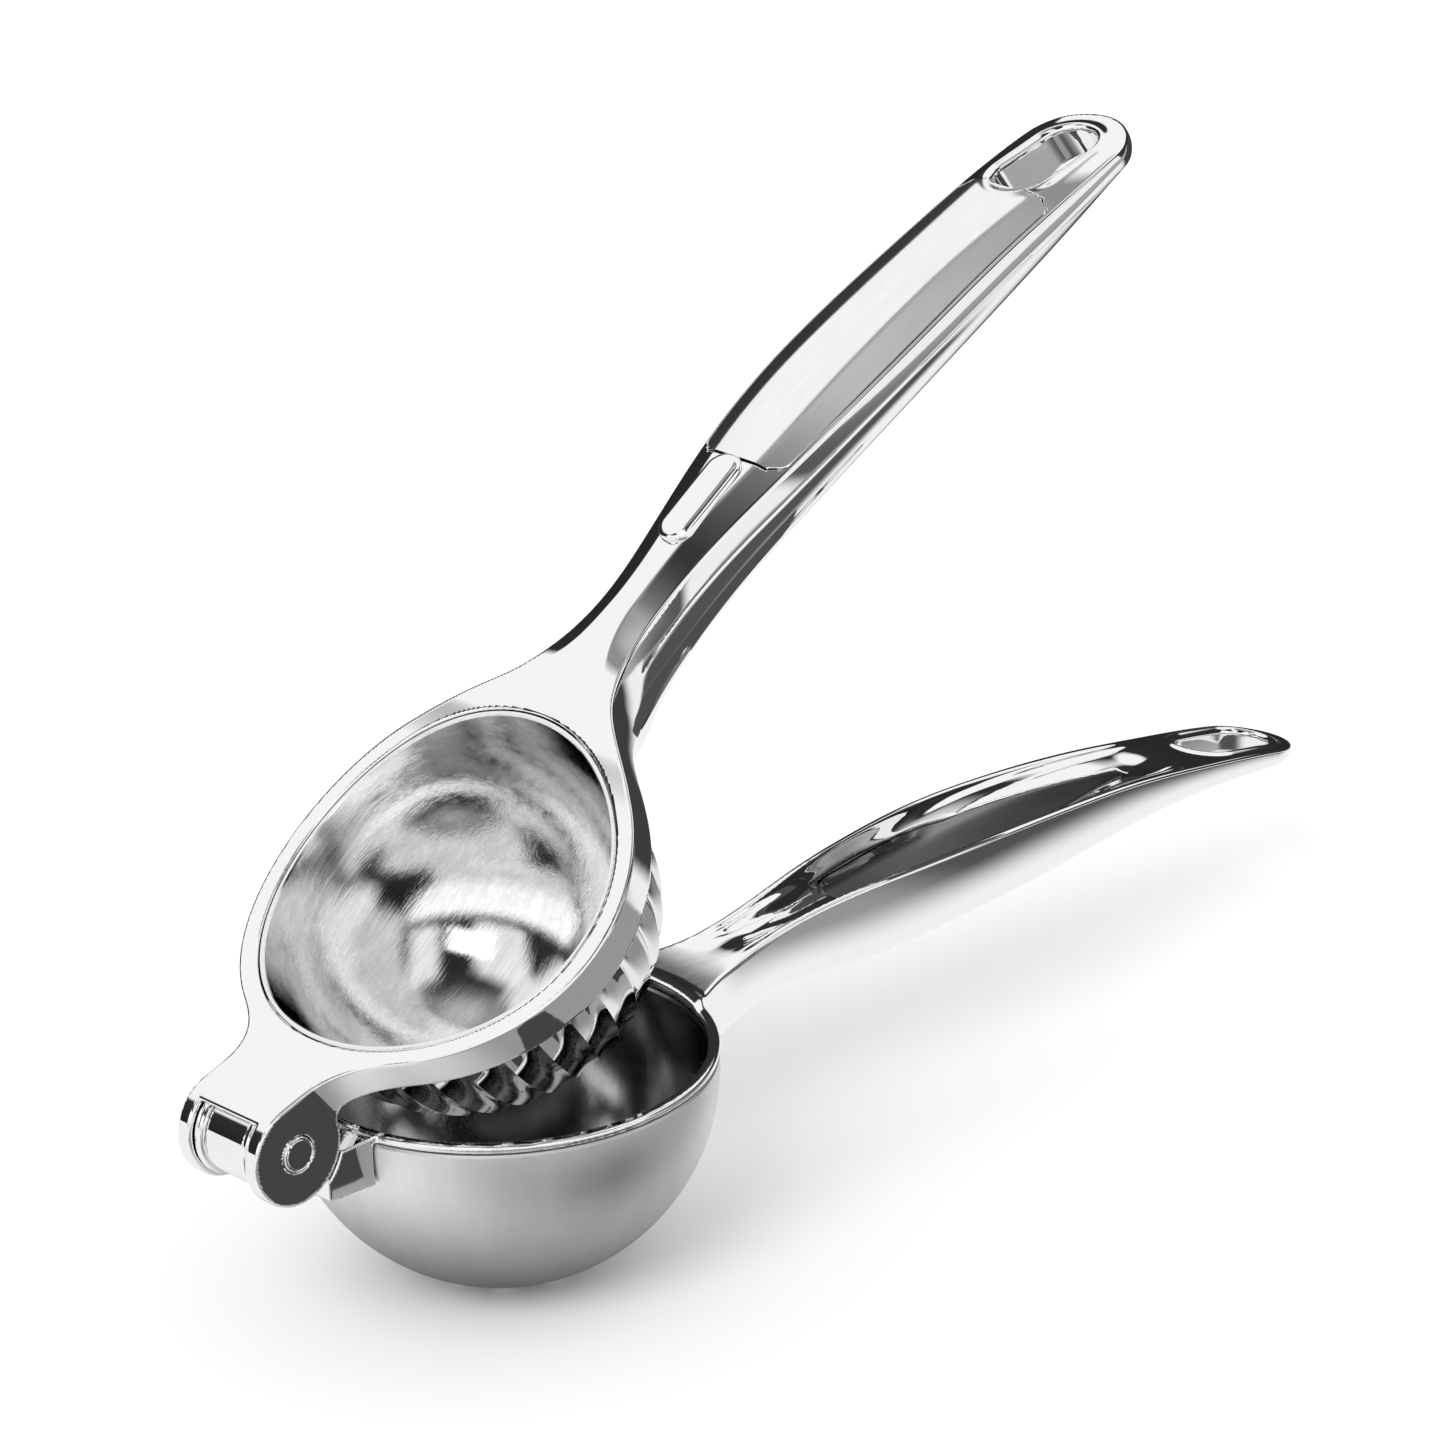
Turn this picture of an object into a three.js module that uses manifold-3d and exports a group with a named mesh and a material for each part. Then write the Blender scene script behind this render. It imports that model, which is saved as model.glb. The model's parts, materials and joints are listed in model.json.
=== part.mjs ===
// Citrus press juicer: two cast arms on one hinge pin, a drained bowl in the lower arm and a
// fluted press cup in the upper arm. Millimetres, +Z up. The origin is the centre of the small
// flat under the bowl, the handles run along +X and the hinge axis is parallel to Y.
import * as THREE from "three";
import { mergeVertices } from "three/addons/utils/BufferGeometryUtils.js";
import Module from "manifold-3d";

const wasm = await Module();
wasm.setup();

// ---- Driving dimensions ----

const gap = 0.3; // between any two pieces that touch
const through = 120; // longer than any cut

// Bowl and the rim that holds it
const bowlOpening = 68; // inner diameter of the lower rim
const lowerRimWidth = 2;
const lowerRimHeight = 1.4;
const bowlInset = 0.1; // bowl sphere inside the rim's outer edge
const bowlSink = 3.4; // bowl sphere's centre below the rim plane
const bowlWall = 1.6;
const restFlat = 14; // diameter of the flat under the bowl
const drainHole = 3.4;
const drainCount = 8;
const drainCircle = 10.2; // radius of the ring of drain holes

// Press cup and the ring that holds it
const cupPlay = 1.3; // cup's ridges inside the bowl's opening
const cupWall = 1.05;
const cupShoulder = 0.7; // flutes stand out from the cup's neck
const cupDrop = 7; // dome's centre below the hinge axis
const fluteCount = 34;
const fluteDepth = 0.9;
const ringWidth = 3.2;
const ringHeight = 6.6;
const ringSaddle = 5.6; // ring's front and back stand above its sides
const ringTop = -1.2; // top of the ring's sides, from the hinge axis
const ringSetback = 1.5; // ring's centre nearer the hinge than the bowl's
const lipDrop = 0.4; // cup's lip below the ring's top

// Hinge
const hingeStandoff = 14.8; // axis outside the lower rim
const hingeRise = 2.85; // axis above the rim plane
const forkWidth = 18.9;
const earRadius = 8.8;
const earThickness = 2.8;
const barrelRadius = 7.3;
const washerRadius = 8.1;
const washerThickness = 1.6;
const pinRadius = 2.9;
const pinProud = 0.25; // pin's ends past the ears
const mouthOverhang = 1; // slot's front edge, behind the hinge axis
const mouthTip = 2; // ears' tips stay joined this far past the axis
const earRelief = 0.9; // room round an ear in the knuckle
const knuckleTop = -0.3; // from the rim plane
const knuckleBottom = -8.4;
const knuckleStart = 5.3; // knuckle's front, behind the hinge axis
const knuckleLap = 6; // knuckle runs on inside the rim
const knuckleWidth = 17.8;
const tabFillet = 9; // where the hinge tab meets the ring

// Arms
const restOpening = 36.8; // degrees between the arms as the part lies
const lowerReach = 156.2; // rim to the tip of the lower handle
const upperReach = 145.4; // ring to the tip of the upper handle
const handleEdge = 1.2; // rounding of a handle's top edge
const handleRim = 2.4; // rim round a handle's channel
const panelInset = 3.6; // panel inside the handle's sides
const channelDepth = 2.6;
const panelThickness = 1.3;
const ledgeWidth = 1.6; // shelf under a panel's edge
const coreDepth = 9; // hollow of a handle under its panel, from the top edge
const slotWidth = 10.4;
const slotLength = 20;
const slotEnd = 5; // handle's tip past its hang slot
const tipRadius = 9;
const plateLength = 19;
const plateWidth = 7;
const plateHeight = 3;
const plateSeat = 0.8; // plate's foot in its pocket

// Handles, as stations from the ring or rim (at 0) to the tip (at 1): the top edge's height,
// half the width and the depth of the belly.
const lowerStations = [
  { at: 0, top: -0.3, half: 12.5, depth: 16.5 },
  { at: 0.05, top: 0, half: 8.4, depth: 16 },
  { at: 0.09, top: 0.5, half: 6.7, depth: 14.8 },
  { at: 0.15, top: 2, half: 6.1, depth: 13.6 },
  { at: 0.26, top: 4.2, half: 7.8, depth: 16.6 },
  { at: 0.35, top: 4.8, half: 9.6, depth: 17.8 },
  { at: 0.45, top: 5, half: 10.8, depth: 17.4 },
  { at: 0.58, top: 4.2, half: 10.7, depth: 15.4 },
  { at: 0.7, top: 2.5, half: 9.9, depth: 12 },
  { at: 0.83, top: -0.7, half: 9.2, depth: 8 },
  { at: 0.93, top: -3.6, half: 8.7, depth: 6 },
  { at: 1, top: -6.2, half: 8.2, depth: 4.6 },
];
const upperStations = [
  { at: 0, top: 3.8, half: 17.5, depth: 15 },
  { at: 0.035, top: 3.4, half: 12.4, depth: 19.6 },
  { at: 0.09, top: 2.3, half: 8, depth: 18.6 },
  { at: 0.15, top: 1.5, half: 6.3, depth: 16.8 },
  { at: 0.25, top: 0.9, half: 7.1, depth: 16 },
  { at: 0.36, top: -0.3, half: 9.5, depth: 15.8 },
  { at: 0.48, top: -2.6, half: 11.2, depth: 15.6 },
  { at: 0.6, top: -6.2, half: 11.5, depth: 14.9 },
  { at: 0.75, top: -11.6, half: 11, depth: 13.4 },
  { at: 0.89, top: -17.6, half: 10.6, depth: 10.2 },
  { at: 0.96, top: -21.4, half: 9.8, depth: 8 },
  { at: 1, top: -24.2, half: 9.2, depth: 6.6 },
];
const lowerChannel = { from: 0.15, to: 0.75 };
const lowerPanel = { from: 0.26, to: 0.71 };
const upperChannel = { from: 0.35, to: 0.845 };
const upperPanel = { from: 0.362, to: 0.835 };
const plateAt = 0.305; // middle of the oval plate along the upper handle

// ---- Worked out from them ----

const rimRadius = bowlOpening / 2 + lowerRimWidth;
const bowlRadius = rimRadius - bowlInset;
const rimZ = bowlSink + Math.sqrt(bowlRadius ** 2 - (restFlat / 2) ** 2);
const hingeReach = rimRadius + hingeStandoff;
const cupRadius = bowlOpening / 2 - cupPlay;
const neckRadius = cupRadius - cupShoulder;
const ringBore = neckRadius + gap;
const ringRadius = ringBore + ringWidth;
const ringX = hingeReach - ringSetback;
const forkGap = forkWidth - 2 * earThickness;
const barrelWidth = forkGap - 2 * washerThickness - 4 * gap;
const pinBore = pinRadius + gap;

const materials = {
  polished: new THREE.MeshStandardMaterial({ color: 0xd4d6d8, roughness: 0.08, metalness: 1 }),
  brushed: new THREE.MeshStandardMaterial({ color: 0xc4c6c8, roughness: 0.32, metalness: 1 }),
  satin: new THREE.MeshStandardMaterial({ color: 0xb2b4b6, roughness: 0.5, metalness: 0.9 }),
  panel: new THREE.MeshStandardMaterial({ color: 0xc9cbcc, roughness: 0.55, metalness: 0.4 }),
  steel: new THREE.MeshStandardMaterial({ color: 0x8f9193, roughness: 0.25, metalness: 1 }),
};

// ---- Solids ----

// A closed three.js geometry as a solid that can be cut and joined.
function solid(geometry) {
  const plain = geometry.clone();
  plain.deleteAttribute("normal");
  plain.deleteAttribute("uv");
  const merged = mergeVertices(plain, 1e-4);
  return new wasm.Manifold(
    new wasm.Mesh({
      numProp: 3,
      vertProperties: new Float32Array(merged.attributes.position.array),
      triVerts: new Uint32Array(merged.index.array),
    }),
  );
}

// A solid as a named mesh.
function piece(name, body, material) {
  const made = body.getMesh();
  const geometry = new THREE.BufferGeometry();
  geometry.setAttribute("position", new THREE.BufferAttribute(made.vertProperties, 3));
  geometry.setIndex(new THREE.BufferAttribute(made.triVerts, 1));
  geometry.computeVertexNormals();
  const mesh = new THREE.Mesh(geometry, material);
  mesh.name = name;
  return mesh;
}

// A closed solid through a row of outlines with the same number of points.
function loft(outlines) {
  const count = outlines[0].length;
  const points = outlines.flat();
  const faces = [];
  for (let row = 0; row < outlines.length - 1; row++) {
    for (let i = 0; i < count; i++) {
      const a = row * count + i;
      const b = row * count + ((i + 1) % count);
      faces.push(a, b, b + count, a, b + count, a + count);
    }
  }
  const last = (outlines.length - 1) * count;
  const middles = [outlines[0], outlines[outlines.length - 1]].map((outline) =>
    outline.reduce((sum, p) => sum.add(p), new THREE.Vector3()).divideScalar(count),
  );
  points.push(...middles);
  for (let i = 0; i < count; i++) {
    const next = (i + 1) % count;
    faces.push(points.length - 2, next, i);
    faces.push(points.length - 1, last + i, last + next);
  }
  const geometry = new THREE.BufferGeometry().setFromPoints(points);
  geometry.setIndex(faces);
  return solid(geometry);
}

// A cylinder along Y.
function rod(radius, width, sides = 40) {
  return solid(new THREE.CylinderGeometry(radius, radius, width, sides));
}

// An upright cylinder whose middle is at x, y, z.
function post(radius, height, x, y, z, sides = 64) {
  const geometry = new THREE.CylinderGeometry(radius, radius, height, sides);
  return solid(geometry.rotateX(Math.PI / 2).translate(x, y, z));
}

function block(x0, x1, width, z0, z1) {
  const geometry = new THREE.BoxGeometry(x1 - x0, width, z1 - z0);
  return solid(geometry.translate((x0 + x1) / 2, 0, (z0 + z1) / 2));
}

// A plan outline pulled up from z0 to z1.
function slab(shape, z0, z1, curveSegments = 16) {
  const geometry = new THREE.ExtrudeGeometry(shape, {
    depth: z1 - z0,
    bevelEnabled: false,
    curveSegments,
  });
  return solid(geometry.translate(0, 0, z0));
}

// A side outline, x right and z up, pulled across to the width.
function profile(shape, width, curveSegments = 24) {
  const geometry = new THREE.ExtrudeGeometry(shape, {
    depth: width,
    bevelEnabled: false,
    curveSegments,
  });
  return solid(geometry.rotateX(Math.PI / 2).translate(0, width / 2, 0));
}

// ---- Handles ----

// A handle's sizes at a share of its length, smooth between the stations.
function handleCurve(stations, start, reach) {
  const across = new THREE.CatmullRomCurve3(
    stations.map((s) => new THREE.Vector3(s.at, s.top, s.half)), false, "catmullrom");
  const down = new THREE.CatmullRomCurve3(
    stations.map((s) => new THREE.Vector3(s.at, s.depth, 0)), false, "catmullrom");
  return function sizes(at) {
    let low = 0;
    let high = 1;
    for (let step = 0; step < 24; step++) {
      const middle = (low + high) / 2;
      if (across.getPoint(middle).x < at) low = middle;
      else high = middle;
    }
    const edge = across.getPoint(low);
    const fromTip = (1 - at) * reach;
    const inTip = Math.min(1, Math.max(0, 1 - fromTip / tipRadius));
    return {
      x: start + at * reach,
      top: edge.y,
      half: edge.z * Math.sqrt(Math.max(0.01, 1 - inTip ** 2)),
      depth: down.getPoint(low).y,
    };
  };
}

// The section of a handle: a flat top with rounded edges over a round belly.
function handleSection({ x, top, half, depth }) {
  const edge = Math.min(handleEdge, half / 2);
  const outline = [
    new THREE.Vector3(x, -half + edge, top),
    new THREE.Vector3(x, -half + edge * 0.3, top - edge * 0.3),
  ];
  const steps = 12;
  for (let i = 0; i <= steps; i++) {
    const turn = (Math.PI * i) / steps;
    const y = -half * Math.cos(turn);
    outline.push(new THREE.Vector3(x, y, top - edge - (depth - edge) * Math.sin(turn) ** 0.85));
  }
  outline.push(new THREE.Vector3(x, half - edge * 0.3, top - edge * 0.3));
  outline.push(new THREE.Vector3(x, half - edge, top));
  return outline;
}

// Shares of the length, closer together at the round tip.
function handleSteps(reach) {
  const body = 1 - tipRadius / reach;
  const steps = [];
  for (let i = 0; i < 22; i++) steps.push((body * i) / 22);
  for (let i = 0; i <= 6; i++) steps.push(body + (1 - body) * Math.sin((Math.PI / 2) * (i / 6)));
  return steps;
}

function handleBody(sizes, reach) {
  return loft(handleSteps(reach).map((at) => handleSection(sizes(at))));
}

// A strip that follows the handle's top: inset from its sides, between two depths below its
// top edge, with round ends.
function strip(sizes, span, reach, inset, from, to) {
  const length = (span.to - span.from) * reach;
  const steps = 16;
  const outlines = [];
  for (let i = 0; i <= steps; i++) {
    const share = (1 - Math.cos((Math.PI * i) / steps)) / 2;
    const { x, top, half } = sizes(span.from + (span.to - span.from) * share);
    const full = half - inset;
    const fromEnd = Math.min(share, 1 - share) * length;
    const inEnd = Math.max(0, 1 - fromEnd / full);
    const y = full * Math.sqrt(Math.max(0.15, 1 - inEnd ** 2));
    outlines.push([
      new THREE.Vector3(x, -y, top - from),
      new THREE.Vector3(x, -y, top - to),
      new THREE.Vector3(x, y, top - to),
      new THREE.Vector3(x, y, top - from),
    ]);
  }
  return loft(outlines);
}

// The long hole that a handle hangs by.
function hangSlot(tipX) {
  const end = tipX - slotEnd - slotWidth / 2;
  const start = tipX - slotEnd - slotLength + slotWidth / 2;
  const shape = new THREE.Shape();
  shape.absarc(end, 0, slotWidth / 2, -Math.PI / 2, Math.PI / 2);
  shape.absarc(start, 0, slotWidth / 2, Math.PI / 2, (3 * Math.PI) / 2);
  return slab(shape, -through / 2, through / 2, 10);
}

// ---- Lower arm, in a frame at the centre of its rim ----

const lowerLength = lowerReach + lowerRimWidth / 2;
const lowerSizes = handleCurve(lowerStations, rimRadius - lowerRimWidth / 2, lowerLength);
const lowerTip = rimRadius + lowerReach;

function lowerArm() {
  const rim = post(rimRadius, lowerRimHeight, 0, 0, -lowerRimHeight / 2);
  const handle = handleBody(lowerSizes, lowerLength);
  const barrel = rod(barrelRadius, barrelWidth).translate(-hingeReach, 0, hingeRise);
  const knuckle = block(-hingeReach + knuckleStart, -rimRadius + knuckleLap, knuckleWidth,
    knuckleBottom, knuckleTop);
  const earRoom = rod(earRadius + earRelief, through, 48)
    .subtract(rod(earRadius + 2 * earRelief, barrelWidth, 48))
    .translate(-hingeReach, 0, hingeRise);
  const bore = rod(pinBore, forkWidth, 28).translate(-hingeReach, 0, hingeRise);
  const bowlRoom = solid(new THREE.SphereGeometry(bowlRadius + gap, 48, 32)
    .rotateX(Math.PI / 2)
    .translate(0, 0, -bowlSink));
  const underRim = block(-through, through, 2 * through, -through, -lowerRimHeight);
  const opening = post(bowlOpening / 2, through, 0, 0, 0);
  const channel = strip(lowerSizes, lowerChannel, lowerLength, handleRim, -channelDepth, channelDepth);
  const core = strip(lowerSizes, lowerPanel, lowerLength, panelInset + ledgeWidth, 0, coreDepth);
  return rim
    .add(handle)
    .add(barrel)
    .add(knuckle.subtract(earRoom))
    .subtract(bowlRoom.intersect(underRim))
    .subtract(opening)
    .subtract(bore)
    .subtract(channel)
    .subtract(core)
    .subtract(hangSlot(lowerTip));
}

function juiceBowl() {
  const top = -lowerRimHeight - gap;
  const inner = bowlRadius - bowlWall;
  const floor = rimZ - bowlWall;
  const points = [];
  const steps = 13;
  const arc = (radius, bottom) => {
    const from = Math.asin((top + bowlSink) / radius);
    const to = -Math.acos(Math.sqrt(1 - ((bottom - bowlSink) / radius) ** 2));
    return { from, to };
  };
  const outerArc = arc(bowlRadius, rimZ);
  const innerArc = arc(inner, floor);
  points.push(new THREE.Vector2(0, -rimZ));
  for (let i = steps; i >= 0; i--) {
    const turn = outerArc.from + ((outerArc.to - outerArc.from) * i) / steps;
    const height = bowlRadius * Math.sin(turn) - bowlSink;
    points.push(new THREE.Vector2(bowlRadius * Math.cos(turn), height));
  }
  for (let i = 0; i <= steps; i++) {
    const turn = innerArc.from + ((innerArc.to - innerArc.from) * i) / steps;
    points.push(new THREE.Vector2(inner * Math.cos(turn), inner * Math.sin(turn) - bowlSink));
  }
  points.push(new THREE.Vector2(0, -floor));
  let bowl = solid(new THREE.LatheGeometry(points, 48).rotateX(Math.PI / 2));
  for (let i = 0; i < drainCount; i++) {
    const turn = (2 * Math.PI * i) / drainCount;
    const x = drainCircle * Math.cos(turn);
    const y = drainCircle * Math.sin(turn);
    bowl = bowl.subtract(post(drainHole / 2, restFlat, x, y, -rimZ, 12));
  }
  return bowl;
}

function gripPanel(sizes, span, reach) {
  const bottom = channelDepth - gap;
  return strip(sizes, span, reach, panelInset, bottom - panelThickness, bottom);
}

// ---- Upper arm, in a frame on the hinge axis ----

const upperStart = ringX + ringRadius - ringWidth;
const upperLength = upperReach + ringWidth;
const upperSizes = handleCurve(upperStations, upperStart, upperLength);
const upperTip = ringX + ringRadius + upperReach;

// The height of the ring's saddle-shaped top at a distance along the arm.
function saddle(x) {
  return ringTop + ringSaddle * ((x - ringX) / ringRadius) ** 2;
}

// A band that follows the saddle between two heights above it.
function saddleBand(low, high) {
  const shape = new THREE.Shape();
  const from = ringX - ringRadius - tabFillet;
  const to = ringX + ringRadius + tabFillet;
  const steps = 18;
  const at = (i) => from + ((to - from) * i) / steps;
  shape.moveTo(at(0), saddle(at(0)) + low);
  for (let i = 1; i <= steps; i++) shape.lineTo(at(i), saddle(at(i)) + low);
  for (let i = steps; i >= 0; i--) shape.lineTo(at(i), saddle(at(i)) + high);
  return profile(shape, 4 * ringRadius);
}

// The ring seen from above, with the fillets of the hinge tab and of the neck.
function ringPlan() {
  const half = forkWidth / 2;
  const reach = Math.sqrt((ringRadius + tabFillet) ** 2 - (half + tabFillet) ** 2);
  const turn = Math.atan2(half + tabFillet, reach);
  const filletX = ringX - reach;
  const shape = new THREE.Shape();
  const tabStart = filletX - ringWidth;
  shape.moveTo(tabStart, -half);
  shape.lineTo(filletX, -half);
  shape.absarc(filletX, -half - tabFillet, tabFillet, Math.PI / 2, turn, true);
  shape.absarc(ringX, 0, ringRadius, Math.PI + turn, Math.PI - turn, false);
  shape.absarc(filletX, half + tabFillet, tabFillet, -turn, -Math.PI / 2, true);
  shape.lineTo(tabStart, half);
  return shape;
}

// The hinge tab from the side: a round ear whose top runs straight up to the ring.
function tabSide() {
  const joinX = ringX - ringRadius;
  const joinZ = saddle(joinX);
  const innerX = joinX + ringWidth;
  const away = Math.hypot(joinX, joinZ);
  const tangent = Math.atan2(joinZ, joinX) + Math.acos(earRadius / away);
  const shape = new THREE.Shape();
  shape.moveTo(innerX, saddle(innerX));
  shape.lineTo(joinX, joinZ);
  shape.absarc(0, 0, earRadius, tangent, 2 * Math.PI, false);
  shape.quadraticCurveTo(earRadius, joinZ - ringHeight, innerX, saddle(innerX) - ringHeight);
  return shape;
}

function upperArm() {
  const ring = slab(ringPlan(), -through, through, 28).intersect(saddleBand(-ringHeight, 0));
  const tab = profile(tabSide(), forkWidth, 32);
  const handle = handleBody(upperSizes, upperLength);
  const cupRoom = post(cupRadius + gap, through, ringX, 0, 0)
    .intersect(saddleBand(-through, -ringHeight));
  const bore = post(ringBore, through, ringX, 0, 0);
  const slot = rod(Math.max(barrelRadius, washerRadius) + gap, forkGap, 36);
  const mouth = block(-2 * earRadius, 2 * earRadius, forkGap, -2 * earRadius, 0)
    .add(block(-2 * earRadius, -mouthTip, forkGap, -mouthOverhang, 2 * earRadius));
  const pinHole = rod(pinBore, through, 28);
  const channel = strip(upperSizes, upperChannel, upperLength, handleRim, -channelDepth, channelDepth);
  const core = strip(upperSizes, upperPanel, upperLength, panelInset + ledgeWidth, 0, coreDepth);
  const pocket = ovalPlate(gap);
  return ring
    .add(tab)
    .add(handle)
    .subtract(cupRoom)
    .subtract(bore)
    .subtract(slot)
    .subtract(mouth)
    .subtract(pinHole)
    .subtract(channel)
    .subtract(core)
    .subtract(pocket)
    .subtract(hangSlot(upperTip));
}

// The oval plate on the neck, or with a margin the pocket that it sits in.
function ovalPlate(margin) {
  const { x, top } = upperSizes(plateAt);
  const radius = plateWidth / 2 + margin;
  const run = (plateLength - plateWidth) / 2;
  const shape = new THREE.Shape();
  shape.absarc(run, 0, radius, -Math.PI / 2, Math.PI / 2);
  shape.absarc(-run, 0, radius, Math.PI / 2, (3 * Math.PI) / 2);
  const ahead = upperSizes(plateAt + 0.05);
  const behind = upperSizes(plateAt - 0.05);
  const slope = Math.atan2(ahead.top - behind.top, ahead.x - behind.x);
  const made = slab(shape, -plateSeat - margin, plateHeight, 10);
  return made.rotate([0, (-slope * 180) / Math.PI, 0]).translate(x, 0, top);
}

// A round outline at a height, with flutes between sharp ridges.
function flutedOutline(radius, depth, z, perFlute = 2) {
  const outline = [];
  for (let i = 0; i < fluteCount * perFlute; i++) {
    const turn = (2 * Math.PI * i) / (fluteCount * perFlute);
    const inFlute = (i % perFlute) / perFlute;
    const r = radius - depth * Math.sin(Math.PI * inFlute);
    outline.push(new THREE.Vector3(ringX + r * Math.cos(turn), r * Math.sin(turn), z));
  }
  return outline;
}

function pressCup() {
  const top = saddle(ringX + ringRadius) + 1;
  const dome = [];
  const steps = 8;
  for (let i = 0; i <= steps; i++) {
    const turn = -(Math.PI / 2) * (1 - i / steps) * 0.97;
    const r = cupRadius * Math.cos(turn);
    dome.push(flutedOutline(r, fluteDepth * Math.cos(turn), cupRadius * Math.sin(turn) - cupDrop));
  }
  dome.push(flutedOutline(cupRadius, fluteDepth, top));
  const belowRing = saddleBand(-through, -ringHeight - gap);
  const neckLap = 2 * cupWall;
  const neckHeight = top + cupDrop + neckLap;
  const neck = post(neckRadius, neckHeight, ringX, 0, top - neckHeight / 2);
  const inner = neckRadius - cupWall;
  const hollow = solid(new THREE.SphereGeometry(inner, 40, 24).rotateX(Math.PI / 2)
    .translate(ringX, 0, -cupDrop))
    .add(post(inner, top + cupDrop + gap, ringX, 0, (top - cupDrop + gap) / 2, 40));
  return loft(dome)
    .intersect(belowRing)
    .add(neck.intersect(saddleBand(-through, -lipDrop)))
    .subtract(hollow);
}

function hingePin() {
  return rod(pinRadius, forkWidth + 2 * pinProud, 28);
}

function washer() {
  return rod(washerRadius, washerThickness, 36).subtract(rod(pinBore, through, 28));
}

// ---- Assembly ----

const lower = new THREE.Group();
lower.position.set(0, 0, rimZ);
lower.add(piece("lower_arm", lowerArm(), materials.polished));
lower.add(piece("juice_bowl", juiceBowl(), materials.satin));
lower.add(piece("lower_grip_panel", gripPanel(lowerSizes, lowerPanel, lowerLength), materials.panel));

const upper = new THREE.Group();
upper.position.set(-hingeReach, 0, rimZ + hingeRise);
upper.rotation.y = -THREE.MathUtils.degToRad(restOpening);
upper.add(piece("upper_arm", upperArm(), materials.polished));
upper.add(piece("press_cup", pressCup(), materials.brushed));
upper.add(piece("upper_grip_panel", gripPanel(upperSizes, upperPanel, upperLength), materials.panel));
upper.add(piece("oval_plate", ovalPlate(0), materials.polished));
upper.add(piece("hinge_pin", hingePin(), materials.steel));
for (const [name, side] of [["near_washer", -1], ["far_washer", 1]]) {
  const made = piece(name, washer(), materials.steel);
  made.position.y = side * (barrelWidth / 2 + gap + washerThickness / 2);
  upper.add(made);
}

const juicer = new THREE.Group();
juicer.add(lower, upper);
export default juicer;
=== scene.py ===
# %% [markdown]
# # Citrus press juicer
# The press is two polished castings that turn on one pin: the lower arm holds a drained bowl and
# the upper arm a fluted cup that pushes the fruit into it. This lesson builds the look of each
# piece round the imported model, which stays the fixed frame for place, size and motion.

# %% Load the frame
import json
import math

import bmesh
import bpy
import numpy as np
from mathutils import Matrix, Vector


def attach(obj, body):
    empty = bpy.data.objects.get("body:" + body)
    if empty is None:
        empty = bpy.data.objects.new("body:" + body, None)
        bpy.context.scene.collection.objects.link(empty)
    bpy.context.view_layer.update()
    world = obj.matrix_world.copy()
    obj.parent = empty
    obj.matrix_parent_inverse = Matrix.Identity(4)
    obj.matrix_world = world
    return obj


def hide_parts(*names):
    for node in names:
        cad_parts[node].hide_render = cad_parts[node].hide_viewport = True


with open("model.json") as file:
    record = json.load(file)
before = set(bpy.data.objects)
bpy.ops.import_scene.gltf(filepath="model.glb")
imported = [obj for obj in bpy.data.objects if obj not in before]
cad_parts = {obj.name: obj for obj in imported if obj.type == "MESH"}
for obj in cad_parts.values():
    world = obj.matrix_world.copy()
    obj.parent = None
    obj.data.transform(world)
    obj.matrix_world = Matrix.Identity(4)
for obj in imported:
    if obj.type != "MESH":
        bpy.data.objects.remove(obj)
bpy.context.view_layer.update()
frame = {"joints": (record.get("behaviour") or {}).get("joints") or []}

# %% [markdown]
# Every size below is a design size of the press in millimetres, in the frame of its own arm. The
# lower arm's frame sits at the middle of the bowl's rim, and the upper arm's frame sits on the
# hinge axis and leans back by the angle that the arms stand open.

# %% Sizes and the two arm frames
MM = 0.001
REST_OPENING = 36.8
RIM_OUTER, RIM_INNER, RIM_HEIGHT = 36.0, 34.0, 1.4
BOWL_RADIUS, BOWL_SINK, BOWL_WALL = 35.9, 3.4, 1.6
RING_X, RING_OUTER, RING_BORE, RING_HEIGHT = 49.3, 35.5, 32.3, 6.6
HINGE_REACH, HINGE_RISE = 50.8, 2.85
EAR_RADIUS, FORK_HALF, GAP_HALF = 8.8, 9.45, 6.65
BARREL_RADIUS, BARREL_HALF = 7.3, 4.45
LOWER_TIP, UPPER_TIP = 192.2, 230.2

hinge = Vector(frame["joints"][0]["pos_m"])
LOWER_FRAME = Matrix.Translation((0, 0, hinge.z - HINGE_RISE * MM))
UPPER_FRAME = Matrix.Translation(hinge) @ Matrix.Rotation(-math.radians(REST_OPENING), 4, "Y")
CELL = 0.42
print("rim plane at", round(LOWER_FRAME.translation.z / MM, 2), "mm, cell", CELL, "mm")

# %% [markdown]
# A handle changes width and height all along its length. A few stations give its sizes, and a
# cubic curve that bends evenly runs through them, because a polished surface shows every kink.

# %% Curves through stations
def curve_through(*points):
    xs, values = np.array(points, float).T
    count, steps = len(xs), np.diff(xs)
    system, right = np.zeros((count, count)), np.zeros(count)
    system[0, 0] = system[-1, -1] = 1
    for i in range(1, count - 1):
        system[i, i - 1 : i + 2] = steps[i - 1], 2 * (steps[i - 1] + steps[i]), steps[i]
        right[i] = 6 * ((values[i + 1] - values[i]) / steps[i] - (values[i] - values[i - 1]) / steps[i - 1])
    bend = np.linalg.solve(system, right)

    def value(x):
        x = np.clip(x, xs[0], xs[-1])
        i = np.clip(np.searchsorted(xs, x) - 1, 0, count - 2)
        after, before, step = x - xs[i], xs[i + 1] - x, steps[i]
        cubic = (bend[i] * before**3 + bend[i + 1] * after**3) / (6 * step)
        return (cubic + (values[i] / step - bend[i] * step / 6) * before
                + (values[i + 1] / step - bend[i + 1] * step / 6) * after)

    return value


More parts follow.
